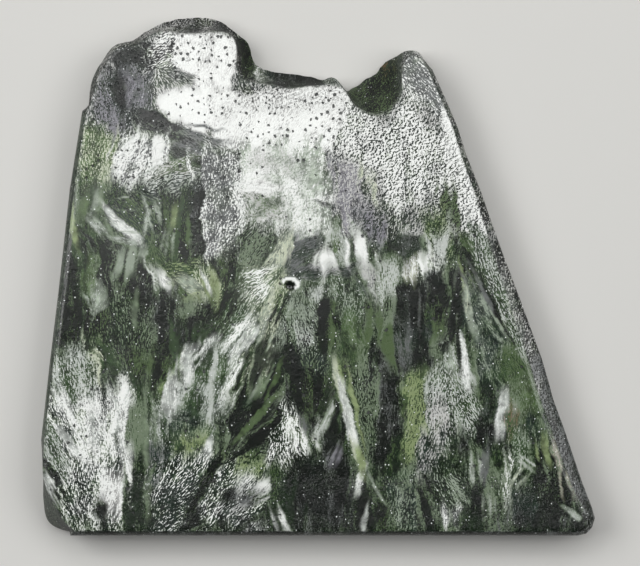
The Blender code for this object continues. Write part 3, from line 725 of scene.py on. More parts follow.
BIG_PLUME = (
    Plume(CREAM, MOSS, (-4.2, 2.2), ((-10.3, 1), (-5.2, 0.4), (-5.1, -3.6), (-6.3, -8.2), (-8.2, -11.6),
        (-10.3, -18.4), (-11.9, -17.8), (-11.2, -11.3), (-9.2, -7), (-10.3, -3.6)), 0.25, 0.5, level=-0.23),
    Plume(WHITE, SAGE, (-4.2, 2.2), ((-10.6, 0.1), (-7.2, 1), (-7.5, -3.3),
        (-10.6, -3.9)), 0.7, 0.7, level=0.06),
    blade(CREAM, (-6.3, -0.2), (-8.5, -8.2), 1.2),
    blade(CREAM, (-6.8, -3), (-9.4, -12.9), 0.9),
    blade(CREAM, (-4.5, -5.5), (-8.5, -14.7), 0.9),
    blade(NIGHT, (-4, -7.6), (-9.1, -18.4), 0.8),
    blade(SAGE, (-8.5, -9.8), (-10.3, -18.4), 0.8),
    blade(NIGHT, (-7.5, -9.8), (-10, -17.2), 0.5),
    blade(NIGHT, (-6, -8.9), (-9.4, -16.6), 0.5),
    blade(DEEP, (-5.5, -3.6), (-7.5, -8.5), 0.5),
    Plume(WHITE, MIST, (-4.2, 2.2), ((-11.9, -7), (-9.1, -6.1), (-8.3, -7.3), (-10.6, -10.1), (-11.7, -14.7),
        (-12.8, -19.3), (-13.4, -19.8), (-14, -15.6), (-13.7, -10.5)), 0.7, 0.3, level=0.2),
    blade(DEEP, (-8.5, -7.9), (-11.2, -15.9), 1.1),
    blade(WHITE, (-9.4, -7), (-12.5, -12.9), 0.8),
    Plume(MIST, DEEP, (-3.4, 1), ((-5.1, -3), (0.2, -3.6), (0.9, -8.2), (-2.6, -9.2), (-5.1, -10.7),
        (-6.3, -9.2), (-4.9, -5.5)), 0.4, 0.5, level=0.09),
    Plume(SILVER, NIGHT, (-2.6, -19), ((-3.9, -8.4), (0.2, -8.5), (1.1, -11.6),
        (-2.3, -10.7)), 0.7, 0.5, level=0.05),
)

DARK_CENTRE = (
    Plume(SILVER, MOSS, (0.5, 5.6), ((-2.9, -1.3), (3.9, -0.8), (4.5, -3.9), (1.4, -4.5),
        (-1.7, -3.9)), 0.3, 0.7, level=0.24),
    deep(OLIVE, NIGHT, (2, 5.6), ((1.2, -3.6), (3.2, -4.2), (4.6, -7), (3.4, -10.7), (1.2, -11.3),
        (0.6, -8.2)), 0.5, level=-0.24),
    Plume(MIST, MOSS, (5.1, 3.3), ((2.9, -1.5), (7.5, -2.1), (8.3, -6.7), (5.4, -9.2),
        (3.5, -7)), 0.7, 0.5, level=-0.09),
    Plume(SAGE, OLIVE, (5.1, 3.3), ((3.5, -6.7), (7.2, -7), (8.2, -11.3), (5.1, -11),
        (3.5, -9.8)), 0.6, 0.7, level=-0.5),
    Plume(OLIVE, MOSS, (4.3, 3.3), ((1.5, -10.1), (4.3, -8.5), (6.3, -10.5), (6.9, -15), (4.5, -13.5),
        (2.6, -12.9)), 0.5, 0.7),
    deep(OLIVE, NIGHT, (8.2, 3.3), ((7.2, -3.9), (9.7, -5.5), (11.2, -9), (11.9, -14.7), (9.1, -11.3),
        (8.2, -7.6)), 0.5, level=0.24),
    Plume(SAGE, DEEP, (11.2, 3.3), ((9.4, -3.6), (12.8, -3.6), (13.2, -10.1),
        (11.2, -9.5)), 0.5, 0.5, level=0.52),
    deep(GREY, NIGHT, (17.4, -49.8), ((12.8, -1.2), (18.9, 0.1), (20.3, -3.6), (19.9, -9.8), (17.6, -13.8),
        (12, -15), (11.6, -10.5), (13.1, -3.6)), 0.7, level=-0.22),
    deep(OLIVE, NIGHT, (17.4, -49.8), ((16.5, -2.1), (20, -1.5), (19.9, -9.8), (17.7, -11.3),
        (15.9, -6.7)), 0.7, level=-0.2),
    blade(DEEP, (13.1, -2.4), (13.7, -8.2), 1.1),
    blade(GREY, (15.6, -3), (15.9, -9.5), 0.6),
    blade(SLATE, (17.4, -3.6), (16.8, -10.4), 1.2),
    blade(SLATE, (12.2, -8.2), (12.8, -13.8), 1.2),
    Plume(GREY, SLATE, (17.4, -49.8), ((11.6, -8.9), (16.8, -8.9), (15.2, -11.5),
        (11.9, -11.9)), 0.3, 0.7, level=-0.1),
)

RIGHT_PLUME = (
    deep(SAGE, NIGHT, (18.9, -49.8), ((20.8, -1.2), (22.2, 1.3), (22, -3.6), (21.1, -10.5), (19.6, -14.1),
        (16.8, -15.9), (17.4, -13.2), (19.9, -8.2)), 0.5),
    blade(CREAM, (21.6, 2.2), (20.8, -3.6), 1.2),
    deep(OLIVE, NIGHT, (21.3, 11.8), ((21.9, 5.9), (23.3, 4.7), (25.1, 1.3), (27.7, -2.1), (29.7, -6.7),
        (30.8, -11.3), (28.5, -9.5), (26.3, -6.1), (23.9, -3), (22.5, 0.1)), 0.5),
    blade(OLIVE, (22.2, 5.6), (26, 1.6), 1.1, -0.3),
    blade(OLIVE, (24.8, 3.2), (28.6, -3.6), 1.2, -0.2),
    blade(LEAFY, (21.7, 1.6), (22.5, -3.6), 1.1),
    Plume(LEAFY, MOSS, (21.3, 11.8), ((21.9, 5.9), (23.3, 5.2), (25.7, 2.2), (27.9, -1.2), (30, -5.5),
        (28.6, -4.9), (26, -1.2), (23.6, 1.9)), 0.3, 0.4, level=0.18),
    blade(GREY, (23.6, 1), (27.3, -6.7), 0.5),
    blade(MIST, (25.1, -3.6), (28.5, -8.9), 0.5),
    blade(GREY, (22.3, 0.7), (25.4, -5.8), 0.5),
    Plume(MIST, SLATE, (22.3, 2.2), ((22.3, -1.5), (24.3, -3.6), (27.1, -8.2), (28.6, -11.3), (28.5, -16.9),
        (26, -17.8), (23.9, -17.2), (23.6, -11.3), (22.2, -7.5)), 0.25, 0.5, level=-0.23),
    blade(MIST, (22.5, -2.4), (24, -8.9), 1.4),
    blade(CREAM, (22.3, -2.1), (23.1, -6.4), 0.6),
    Plume(OLIVE, MOSS, (28.2, -3.6), ((27.9, -10.5), (32.5, -11), (33.1, -15.9), (30, -16.9),
        (27.4, -14.9)), 0.7, 0.7, level=0.12),
    Plume(SILVER, MOSS, (19.7, -9.8), ((16.6, -15), (20, -13.5), (22.6, -16.9), (24.2, -18.2), (25.7, -23),
        (23.6, -24.1), (21.4, -22.9), (19.6, -27), (17.1, -25.5), (14.5, -23.9),
        (14.5, -19.3)), 0.8, 0.7, level=0.08, bundles=0.8),
    Plume(PEARL, SLATE, (19.7, -9.8), ((17.7, -18.7), (20.5, -19.6), (20.8, -23.6), (18.9, -26.4),
        (16.8, -25.2), (16.5, -20.9)), 0.6, 0.7, level=0.24, bundles=0.8),
    Plume(SILVER, OLIVE, (21.3, -8.2), ((19.9, -11.3), (21.9, -11.3), (23.3, -17.2),
        (21.1, -17.2)), 0.6, 0.3, level=0.6),
    blade(NIGHT, (21.3, -7), (22.2, -14.7), 0.5),
    Plume(WHITE, SILVER, (21.7, -3.6), ((21.7, -6.4), (22, -8.5), (22.8, -11.6), (23.4, -17.5), (22.6, -15.9),
        (22, -11.6), (21.6, -8.9)), 0.4, 0.2, level=0.3, waver=0.2, spikes=0.3),
    blade(SILVER, (20.3, -11.3), (21.3, -15.9), 0.6),
    blade(SILVER, (17.4, -14.7), (15.9, -22.1), 1.4),
    Plume(LEAFY, MOSS, (15.9, -9.8), ((13.4, -15.9), (15.6, -14.7), (16.5, -19), (16.2, -26.4), (14.5, -29.5),
        (13.6, -26.7)), 0.7, 0.5, level=0.31),
    Plume(PEARL, SLATE, (17.4, -9.8), ((15.2, -24.6), (19.9, -24.6), (19.9, -29.8),
        (15.9, -29.8)), 0.35, 0.7, level=-0.18),
    deep(OLIVE, NIGHT, (25.1, -3.6), ((23.7, -17.3), (28.5, -16.7), (26.9, -19.2), (25.3, -19.6)), 0.5),
    Plume(GREY, SLATE, (25.1, -3.6), ((25.4, -19.3), (27.9, -19.3), (27.9, -22.4),
        (25.7, -22.1)), 0.25, 0.5, level=0.13),
    deep(GREY, NIGHT, (25.1, -3.6), ((24.9, -21.8), (27.9, -22.3), (28.5, -26.1), (26, -28),
        (24.5, -24.6)), 0.5),
    Plume(OLIVE, DEEP, (25.1, -3.6), ((26, -25.8), (28.3, -25.8), (28.2, -29.2),
        (26.3, -30.1)), 0.25, 0.5, level=-0.23),
)

RIGHT_EDGE = (
    Plume(SAGE, OLIVE, (31.3, -3.6), ((29.1, -16.9), (32.8, -15.9), (35.6, -19.3), (32.8, -21.8),
        (30.2, -20.9)), 0.7, 0.7, level=0.23),
    blade(WHITE, (29, -18.2), (28.3, -23.9), 1.8),
    Plume(RUST, OLIVE, (31.3, -3.6), ((29, -21), (31, -21.2), (31.1, -23.3),
        (29.6, -23.8)), 0.7, 0.5, cover=0.8, level=-0.31),
    deep(SAGE, SLATE, (31.3, -3.6), ((31.9, -20.9), (35.3, -21.8), (34.5, -24.9),
        (32.3, -23.8)), 0.5, level=-0.3),
    Plume(MIST, MOSS, (30.5, -3.6), ((29.1, -23.3), (33, -23.9), (32.2, -29.8),
        (29.3, -30.1)), 0.7, 0.5, level=-0.19),
    Plume(SAGE, DEEP, (18.9, -15.9), ((19.9, -27), (23.6, -24.9), (28.2, -27.6), (28.5, -34.4), (23.9, -37.8),
        (20.5, -35), (18.9, -29.8)), 0.25, 0.7, level=-0.08),
    blade(SILVER, (23.9, -27.3), (24.6, -32.6), 0.8),
    blade(GREY, (26, -27), (25.7, -31.3), 0.8),
    deep(GREY, NIGHT, (22.9, -15.9), ((21.3, -23.9), (23.6, -24.3), (24, -27.3), (21.7, -27.6)), 0.5),
    Plume(WHITE, SAGE, (29.6, -49.8), ((29, -26.1), (30.2, -26.1), (30, -30.1), (29.1, -34.7), (28.2, -34.7),
        (28.6, -29.8)), 0.7, 0.3, level=0.07),
    Plume(SAGE, DEEP, (32.8, -19), ((30, -29.8), (33.1, -28.6), (33.7, -32.9),
        (30.6, -34.4)), 0.25, 0.5, level=-0.33),
    blade(CREAM, (29.9, -32.6), (32, -30.1), 0.8),
    blade(SILVER, (30.3, -28), (33.4, -30.4), 0.8),
    deep(SAGE, NIGHT, (35.1, -3.6), ((33.7, -25.2), (36, -27.5), (36.2, -31.3), (37.7, -36.3), (35.1, -36.7),
        (32.8, -32.9), (33, -29)), 0.7),
    blade(LEAFY, (34.8, -24.9), (35.3, -28.6), 0.8),
    deep(SAGE, NIGHT, (35.1, -3.6), ((36.2, -29.2), (38.7, -30.4), (39.9, -35.2), (37.4, -36),
        (36, -32.9)), 0.5),
    Plume(SAGE, SAND, (32.8, -3.6), ((35.3, -24.6), (37.7, -25.2), (39.3, -29.2), (40, -33.2), (38.5, -32.9),
        (37.1, -29), (35.7, -27.6)), 0.7, 0.5, level=-0.04),
    deep(GREY, NIGHT, (35.1, -65.2), ((28.5, -34.1), (33.6, -32.9), (37.7, -35.7), (37.4, -39.2),
        (28.2, -39.2)), 0.7),
    Plume(GREY, SLATE, (31.3, -65.2), ((29.4, -33.5), (33.1, -33.5), (33.7, -36.3),
        (30, -35.7)), 0.7, 0.5, level=-0.46),
    deep(GREY, NIGHT, (38.2, -65.2), ((35.1, -36.1), (39.6, -36.6), (42, -39), (35.1, -39.5)), 0.5),
    blade(SILVER, (38, -36.3), (40.5, -38.1), 0.5),
    deep(GREY, NIGHT, (42, -3.6), ((39.4, -33.2), (41.7, -35), (42.4, -38.4), (40.5, -38.9)), 0.5),
    Plume(MIST, DEEP, (15.9, -25.2), ((17.4, -29.5), (22, -31), (22.6, -35.2), (19.2, -35.3),
        (17.4, -32.9)), 0.7, 0.7, level=-0.14),
    Plume(WHITE, GREY, (20.5, -65.2), ((18.3, -35.7), (22.2, -35.7), (21.7, -38.4),
        (19.2, -38.9)), 0.7, 0.5, level=0.12),
    deep(SAGE, NIGHT, (12.8, -25.2), ((14.5, -29.6), (17.4, -32.3), (17.6, -39.2), (15.7, -39.2),
        (15.2, -33.2)), 0.5),
    deep(SAGE, NIGHT, (24.3, -65.2), ((22.5, -32.7), (26, -32.7), (26, -37.7), (22.8, -37.7)), 0.7),
    blade(SILVER, (26.3, -33.5), (26.3, -36.6), 0.6),
    deep(SAGE, DEEP, (24.3, -96), ((18.9, -37.8), (28.2, -37.2), (28.2, -39.7), (18.9, -39.7)), 0.5),
    Plume(SILVER, MOSS, (18.9, 27.2), ((22.9, 8.7), (26.8, 6.5), (29.4, -0.5), (31.3, -6.4), (32.8, -11.6),
        (31.3, -11.9), (28.5, -6.7), (25.4, -0.8), (23.3, 3.8)), 0.9, 1, level=0.02, bundles=0.7),
)

# The open cavity's rim, with a painted highlight, and its floor, with painted shade.
CAVITY = (
    Plume(NIGHT, NIGHT, (-4.2, 27.2), ((-4.9, -1.2), (-4.3, -0.8), (-3.5, -1), (-3.1, -1.6), (-3.5, -2.2),
        (-4.2, -2.3), (-4.8, -1.9)), 0, 0.3, waver=0, spikes=0, bundles=0),
    Plume(WHITE, WHITE, (-4.2, 27.2), ((-5.5, -0.9), (-4.9, -0.4), (-4.2, -0.2), (-3.2, -0.4), (-2.6, -1.2),
        (-2.8, -1.9), (-3.2, -2.1), (-3.5, -1.9), (-3.2, -1.5), (-3.4, -1), (-4, -0.8), (-4.8, -0.8),
        (-5.2, -1.3)), 0, 0.1, level=0.5, waver=0, spikes=0, bundles=0),
)

# From the first laid to the last; later ones cover those before them.
PLUMES = (
    *TOP_LEFT,
    *TOP_AND_CENTRE,
    *LEFT,
    *LOWER_LEFT,
    *LEFT_OF_MIDDLE,
    *LOWER_MIDDLE,
    *BIG_PLUME,
    *DARK_CENTRE,
    *RIGHT_PLUME,
    *RIGHT_EDGE,
    *CAVITY,
)

# The same for the broken and ground sides. Along the broken end, the pale rim round the knob and the white at
# the notch and the peak are painted reflection, and the dark strips on the knob's and the notch's steep
# slopes are painted shade.
SIDE_PATCHES = (
    Plume(PEARL, NIGHT, (43.6, 42.6), ((18.3, 30.3), (20.8, 30.9), (31.3, 6.2), (43.6, -29.8), (44.2, -38.1),
        (40.5, -40.6), (37.4, -37.5), (34.3, -19), (25.1, 8.7)), 0.7, 0.3, level=-0.28),
    Plume(GREY, NIGHT, (43.6, 42.6), ((31.3, -11.3), (43.6, -11.3), (45.1, -39),
        (39, -39)), 0.7, 1, level=0.2),
    Plume(GREY, NIGHT, (-2.6, -96), ((-39.6, -38.1), (43.6, -38.1), (43.6, -43.7),
        (-39.6, -43.7)), 0.4, 0.3, level=-0.35),
    # Painted reflection on the rim round the shoulder and the knob.
    Plume(PEARL, NIGHT, (-18, 88.8), ((-36.5, 25.6), (-33.4, 34.9), (-25.7, 41), (-12.5, 41.3), (-8.5, 28.7),
        (-12.5, 28.4), (-14, 37), (-25.7, 36.4), (-31.9, 33.3), (-35, 25.6)), 0.7, 0.3, level=-0.12),
    # Painted shade on the knob's steep slope.
    deep(GREY, NIGHT, (-18, 88.8), ((-20.6, 38.7), (-14, 38.9), (-13.2, 37), (-20.6, 36.9)), 0.3),
    Plume(OLIVE, NIGHT, (-18, 88.8), ((-12.5, 37), (-10.3, 35.8), (-9.7, 31.2), (-12.2, 28.4),
        (-12.9, 33.3)), 0.6, 0.3, level=-0.15),
    # Painted shade on the notch's steep slope.
    deep(GREY, NIGHT, (-5.7, 88.8), ((-8.5, 31.8), (1.4, 33.3), (1.4, 28.7), (-8.5, 27.8)), 0.5),
    Plume(WHITE, SAGE, (-5.7, 88.8), ((-9.4, 32.1), (-7.4, 32.1), (-7.2, 30.6),
        (-9.2, 30.4)), 0.5, 0.3, level=0.1),
    Plume(SILVER, SLATE, (-5.7, 88.8), ((0.8, 31.5), (3.9, 31.2), (3.9, 29), (0.8, 29)), 0.7, 0.3),
    Plume(OLIVE, NIGHT, (9.7, 73.4), ((4.2, 27.8), (5.1, 30), (7.2, 31.2), (9.1, 33.3), (10.9, 34.9),
        (13.2, 35.2), (13.2, 29.5), (13.6, 26.9), (11.2, 24.4), (9.7, 23.5),
        (6.9, 25)), 0.7, 0.3, level=-0.1),
    Plume(RUST, MOSS, (9.7, 73.4), ((9.9, 34), (12.5, 34), (12.5, 32.3), (10.2, 32.1)), 0.4, 0.3),
    Plume(WHITE, NIGHT, (15.9, 73.4), ((12.8, 35.5), (16.9, 36.1), (18, 33), (13.6, 32.1)), 0.7, 0.3),
)


@dataclass
class Pattern:
    """The look of the stone at each of its points."""

    light: Array  # colour of the fibres
    dark: Array  # colour between them
    flow: Array  # direction of the fibres, as the cosine and sine of twice its angle
    grain: Array
    bundle: Array  # more than 0 where fibres gather in a brighter bundle

    # Width and length of the tufts that fray a border, and how far they reach.
    tuft: tuple[float, float, float] = (0.8, 14, 4.5)
    bundle_size: Point = (1.5, 13)
    # The border is the average of itself moved this far along the fibres, so that it smears along them.
    smear: tuple[float, ...] = (-1.2, -0.6, 0.0, 0.6, 1.2)
    reach: float = 2.6  # how far past its corners a plume is looked for

    @classmethod
    def plain(cls, count: int, light: Tone, dark: Tone, grain: float) -> "Pattern":
        """Makes one look for all points, with its fibres up the slab.

        Args:
            count: How many points there are.
            light: The fibres' tone.
            dark: The tone between them.
            grain: How much it glitters.

        Returns:
            The pattern, to lay plumes over.
        """
        flow = np.tile([-1.0, 0.0], (count, 1))
        colours = (np.tile(tone.rgb, (count, 1)) for tone in (light, dark))
        return cls(*colours, flow, np.full(count, grain), np.zeros(count))

    def lay(self, plume: Plume, x: Array, y: Array, stray: Array) -> None:
        """Covers the points inside a plume with its look, along a border that its fibres fray.

        Args:
            plume: The plume to lay over what is there.
            x: The points' x.
            y: The points' y.
            stray: How far each point is moved before it is tested, for borders that aren't straight.
        """
        ends = np.array(plume.corners)
        low, high = ends.min(0) - self.reach, ends.max(0) + self.reach
        near = np.nonzero((x > low[0]) & (x < high[0]) & (y > low[1]) & (y < high[1]))[0]
        if not near.size:
            return
        px = x[near] + plume.waver * stray[near, 0]
        py = y[near] + plume.waver * stray[near, 1]
        away = np.hypot(px - plume.root[0], py - plume.root[1])
        middle_away = float(np.hypot(*(ends.mean(0) - plume.root)))
        angle = np.arctan2(py - plume.root[1], px - plume.root[0])
        # Across the fibres in millimetres, with a seam behind the root, where no plume reaches.
        turned = angle - plume.heading
        across = middle_away * np.arctan2(np.sin(turned), np.cos(turned))
        tuft_width, tuft_length, tuft_reach = self.tuft
        fray = uneven(across / tuft_width, away / tuft_length, plume.seed) - 0.5
        fray *= plume.spikes * tuft_reach
        share = np.zeros(px.shape)
        for along in self.smear:
            along *= plume.spikes
            inside = distance_inside(plume.corners, px + along * np.cos(angle), py + along * np.sin(angle))
            share += smooth_step(-0.6, 0.6, (inside + fray) / plume.fringe)
        share *= plume.cover / len(self.smear)
        over = share[:, None]
        bundle = uneven(across / self.bundle_size[0], away / self.bundle_size[1], plume.seed + 400) - 0.5
        self.light[near] += (plume.fibres.rgb - self.light[near]) * over
        self.dark[near] += (plume.between.rgb - self.dark[near]) * over
        self.flow[near] += (np.stack([np.cos(2 * angle), np.sin(2 * angle)], 1) - self.flow[near]) * over
        self.grain[near] += (plume.grain - self.grain[near]) * share
        self.bundle[near] += (plume.level + plume.bundles * bundle - self.bundle[near]) * share

    def blend(self, other: "Pattern", share: Array) -> None:
        """Goes over to another pattern.

        Args:
            other: The pattern to go over to.
            share: How far, at each point, from 0 to 1.
        """
        for key in ("light", "dark", "flow", "grain", "bundle"):
            ours, theirs = getattr(self, key), getattr(other, key)
            setattr(self, key, ours + (theirs - ours) * (share if ours.ndim == 1 else share[:, None]))

    def directions(self, wander: Array) -> Array:
        """The fibres' direction at each point, as a unit vector, turned a little by wander, in radians."""
        angle = 0.5 * np.arctan2(self.flow[:, 1], self.flow[:, 0]) + wander
        return np.stack([np.cos(angle), np.sin(angle), np.zeros_like(angle)], 1)


@dataclass
class Rim:
    """The slab's side, as a row of points at each station round it, climbing from its back to its face."""

    thickness: float = 8.0
    step: float = 0.6  # between stations, along the side
    back_bevel: float = 0.35
    wall_rows: int = 8
    slope_rows: int = 11
    foot_share: float = 0.3  # of the wall's rows
    undercut: float = 0.9
    edge_wear: float = 0.1
    waist_wander: float = 0.6  # as a share of the waist's height
    bite: float = 0.35  # how far broken stone is hollowed sideways
    step_height: float = 2.0  # of the broken slope's coarse unevenness
    chip_height: float = 0.55  # of its fine unevenness
    rings: Array = field(init=False)  # for each station, its points from the back up
    broken: Array = field(init=False)  # how rough each of those points is, from 0 to 1
    along: Array = field(init=False)  # each station's way round the outline
    length: float = field(init=False)  # of the whole outline

    @property
    def shape(self) -> tuple[int, int]:
        """How many stations there are, and how many heights at each."""
        return self.rings.shape[:2]

    def stations(self) -> tuple[Array, Array, Array]:
        """Spaces the stations evenly and smooths those of broken stone.

        Returns:
            The outline's points, the face edge's points, and the waist, bend and roughness at each.
        """
        knots = [(out, edge, side) for side, points in STRETCHES for out, edge in points]
        outs, edges, sides = [], [], []
        for (out_a, edge_a, side_a), (out_b, edge_b, side_b) in zip(knots, knots[1:]):
            pieces = max(1, round(math.dist(out_a, out_b) / self.step))
            share = np.arange(1, pieces + 1)[:, None] / pieces
            outs.append(np.array(out_a) * (1 - share) + np.array(out_b) * share)
            edges.append(np.array(edge_a) * (1 - share) + np.array(edge_b) * share)
            ends = [np.array([side.waist, side.bend, side.rough]) for side in (side_a, side_b)]
            sides.append(ends[0] * (1 - share) + ends[1] * share)
        out, edge, side = np.vstack(outs), np.vstack(edges), np.vstack(sides)
        broken = (side[:, 2:] > 0.02) * 1.0
        for _ in range(2):
            out += broken * (np.roll(out, 1, 0) + np.roll(out, -1, 0) - 2 * out) / 4
            edge += broken * (np.roll(edge, 1, 0) + np.roll(edge, -1, 0) - 2 * edge) / 4
        return out, edge, side

    def build(self) -> None:
        """Works out every point of the side, and where each station is along it."""
        out, edge, side = self.stations()
        waist, bend, rough = side.T
        lengths = np.linalg.norm(np.roll(out, -1, 0) - out, axis=1)
        along = np.concatenate([[0.0], np.cumsum(lengths)[:-1]])
        inward = (edge - out) / np.linalg.norm(edge - out, axis=1)[:, None]
        zero = np.zeros_like(along)
        waist = waist * (1 + self.waist_wander * rough * (uneven(along * 0.3, zero, Seed.WAIST) - 0.5) * 2)
        waist = np.clip(waist, 0.9, self.thickness - 0.8)
        cut = 0.6 + 2 * (uneven(along * 0.2, zero, Seed.UNDERCUT) - 0.5)
        cut = np.maximum(0.0, self.undercut * rough * cut)
        low_height = self.back_bevel + (0.45 * waist - self.back_bevel) * np.minimum(rough, 1.0)
        foot, rest = self.foot_share, 1 - self.foot_share
        rows = []
        for row in range(self.wall_rows):
            share = row / self.wall_rows
            if share < foot:
                inset = self.back_bevel + cut * (1 - 0.65 * share / foot) - self.back_bevel * share / foot
                height = low_height * share / foot
            else:
                inset = 0.35 * cut * (1 - share) / rest
                height = low_height + (waist - low_height) * (share - foot) / rest
            bite = rough * self.bite * uneven(along * 0.9, height * 0.9, Seed.BITE) * min(1.0, 6 * share)
            place = out + inward * (inset + bite)[:, None]
            rows.append(np.column_stack([place, height]))
        for row in range(self.slope_rows + 1):
            share = row / self.slope_rows
            bite = rough * self.bite * uneven(along * 0.9, waist * 0.9, Seed.BITE) * (1 - share)
            place = out + (edge - out) * share + inward * bite[:, None]
            height = waist + (self.thickness - self.edge_wear - waist) * share**bend
            steps = uneven(place[:, 0] * 0.45, place[:, 1] * 0.45, Seed.STEPS) - 0.5
            chips = uneven(place[:, 0] * 1.7, place[:, 1] * 1.7, Seed.CHIPS) - 0.5
            lift = self.step_height * steps + self.chip_height * chips
            height = height + math.sin(math.pi * share) * rough * lift
            height = np.minimum(height, self.thickness - self.edge_wear)
            rows.append(np.column_stack([place, height]))
        self.rings = np.stack(rows, 1)
        self.broken = np.tile(np.minimum(rough * 1.5, 1.0)[:, None], (1, len(rows)))
        self.broken[:, -1] *= 0.5
        self.along, self.length = along, float(lengths.sum())


@dataclass(frozen=True)
class Skin:
    """How a patch of the face was left by the lap."""

    corners: Corners
    pits: float  # share of the places for a pit that have one
    # Gravel also sets how strongly light and shade are painted on the bumps.
    gravel: float  # height of its bumps
    polish: float
    fringe: float = 2.5  # width of its border


PLAIN_SKIN = {"pits": 0.06, "gravel": 0.04, "polish": 0.55}

SKINS = (
    Skin(((-38, 21), (-35, 28.7), (-30.3, 35.7), (-24.2, 37.2), (-23.4, 33.3), (-25.7, 25.6), (-28.8, 19.5),
        (-36.5, 13.3)), pits=0.3, gravel=0.35, polish=0.4),
    Skin(((-24.2, 37.2), (-12.6, 37.3), (-12.2, 28.4), (-15.9, 27.2),
        (-21.1, 29.6)), pits=0.9, gravel=0.12, polish=0.85),
    Skin(((-16.8, 27.8), (-13.1, 27.8), (-12.5, 24.4), (-15.9, 23.5),
        (-17.1, 25.3)), pits=0.8, gravel=1.0, polish=0.3),
    Skin(((-13.1, 30), (4.3, 29.5), (5.4, 25.6), (-2.6, 24.4),
        (-12.5, 25.3)), pits=0.75, gravel=0.8, polish=0.5),
    Skin(((-12.5, 25.3), (-2.6, 24.7), (5.1, 25.6), (4.3, 21), (2, 18.9),
        (-11.9, 19.2)), pits=0.5, gravel=0.06, polish=0.88),
    Skin(((4.3, 25.9), (13.2, 28), (13.4, 33.3), (15.9, 32.4), (28.2, 6.4), (21.3, 5.6), (15.9, 6.9),
        (9.7, 10.2), (2, 17.9)), pits=0.1, gravel=0.95, polish=0.15),
    Skin(((23.6, 7.9), (27.1, 6.9), (33.1, -11.3), (30.6, -11.3),
        (26, 1.3)), pits=0.1, gravel=0.7, polish=0.2),
    Skin(((13.4, 34.1), (16.6, 34.1), (20.2, 25.3), (17.4, 24.7),
        (13.4, 27.8)), pits=0.1, gravel=0.3, polish=0.4),
    Skin(((-24.2, 33.3), (-12.5, 33.3), (-12.5, 27.5), (-15.9, 22.6), (-18.6, 21.3),
        (-24.2, 25.3)), pits=0.4, gravel=0.05, polish=0.9),
    Skin(((-11.4, 19.2), (0.5, 19.5), (2.6, 13.3), (1.4, 6.9), (-2.6, 5),
        (-10.9, 6.9)), pits=0.08, gravel=0.25, polish=0.9),
    Skin(((0.5, 19.5), (8.5, 18.2), (12.2, 6.2), (5.1, 5.6), (2, 11)), pits=0.2, gravel=0.75, polish=0.3),
    Skin(((-18.3, 19.2), (-11.4, 19.2), (-10.9, 6.9), (-12.5, 2.2),
        (-18, 2.2)), pits=0.1, gravel=0.75, polish=0.3),
    Skin(((-31.9, 22.6), (-22.9, 21.8), (-22.9, 12.4), (-31.6, 11.8)), pits=0.2, gravel=0.35, polish=0.4),
    Skin(((-40, -11.3), (-28.8, -11.3), (-28.2, -39.2), (-38, -39.2),
        (-41.9, -28.3)), pits=0.08, gravel=0.2, polish=0.4),
    Skin(((-39.6, -31.3), (43.6, -31.3), (43.6, -40.6), (-39.6, -40.6)), pits=0.1, gravel=0.3, polish=0.4),
)


@dataclass(frozen=True)
class Hollow:
    """A round hollow in the face."""

    centre: Point
    radius: float
    depth: float


OPEN_CAVITY = Hollow((-4.2, -1.7), 0.85, 0.5)


@dataclass(frozen=True)
class Crack:
    """A fine open line in the face."""

    start: Point
    end: Point
    width: float = 0.22
    depth: float = 0.16


CRACKS = (Crack((-12.3, 35.0), (-13.1, 27.9)), Crack((9.9, 24.2), (9.8, 21.3)))


def add_node(
    tree: bpy.types.NodeTree,
    kind: str,
    inputs: Sequence | dict = (),
    output: int | str = 0,
    **settings: str | bool,
) -> Socket:
    """Adds a shader node to a tree.

    Args:
        tree: The node tree.
        kind: The node's type, without the ShaderNode at its start.
        inputs: What is linked to each input or set on it, in order or by the input's name or number.
        output: The name or number of the output that is wanted.
        **settings: The node's own properties.

    Returns:
        That output of the new node.
    """
    node = tree.nodes.new("ShaderNode" + kind)
    for name, value in settings.items():
        setattr(node, name, value)
    for name, value in (inputs if isinstance(inputs, dict) else dict(enumerate(inputs))).items():
        if isinstance(value, Socket):
            tree.links.new(value, node.inputs[name])
        else:
            node.inputs[name].default_value = value
    return node.outputs[output]


# A map range that eases in and out.
SMOOTH = {"interpolation_type": "SMOOTHSTEP"}
# A mix of colours has its share at input 0 and its colours at 6 and 7, and gives the mix at output 2.
COLOURS = {"output": 2, "data_type": "RGBA"}


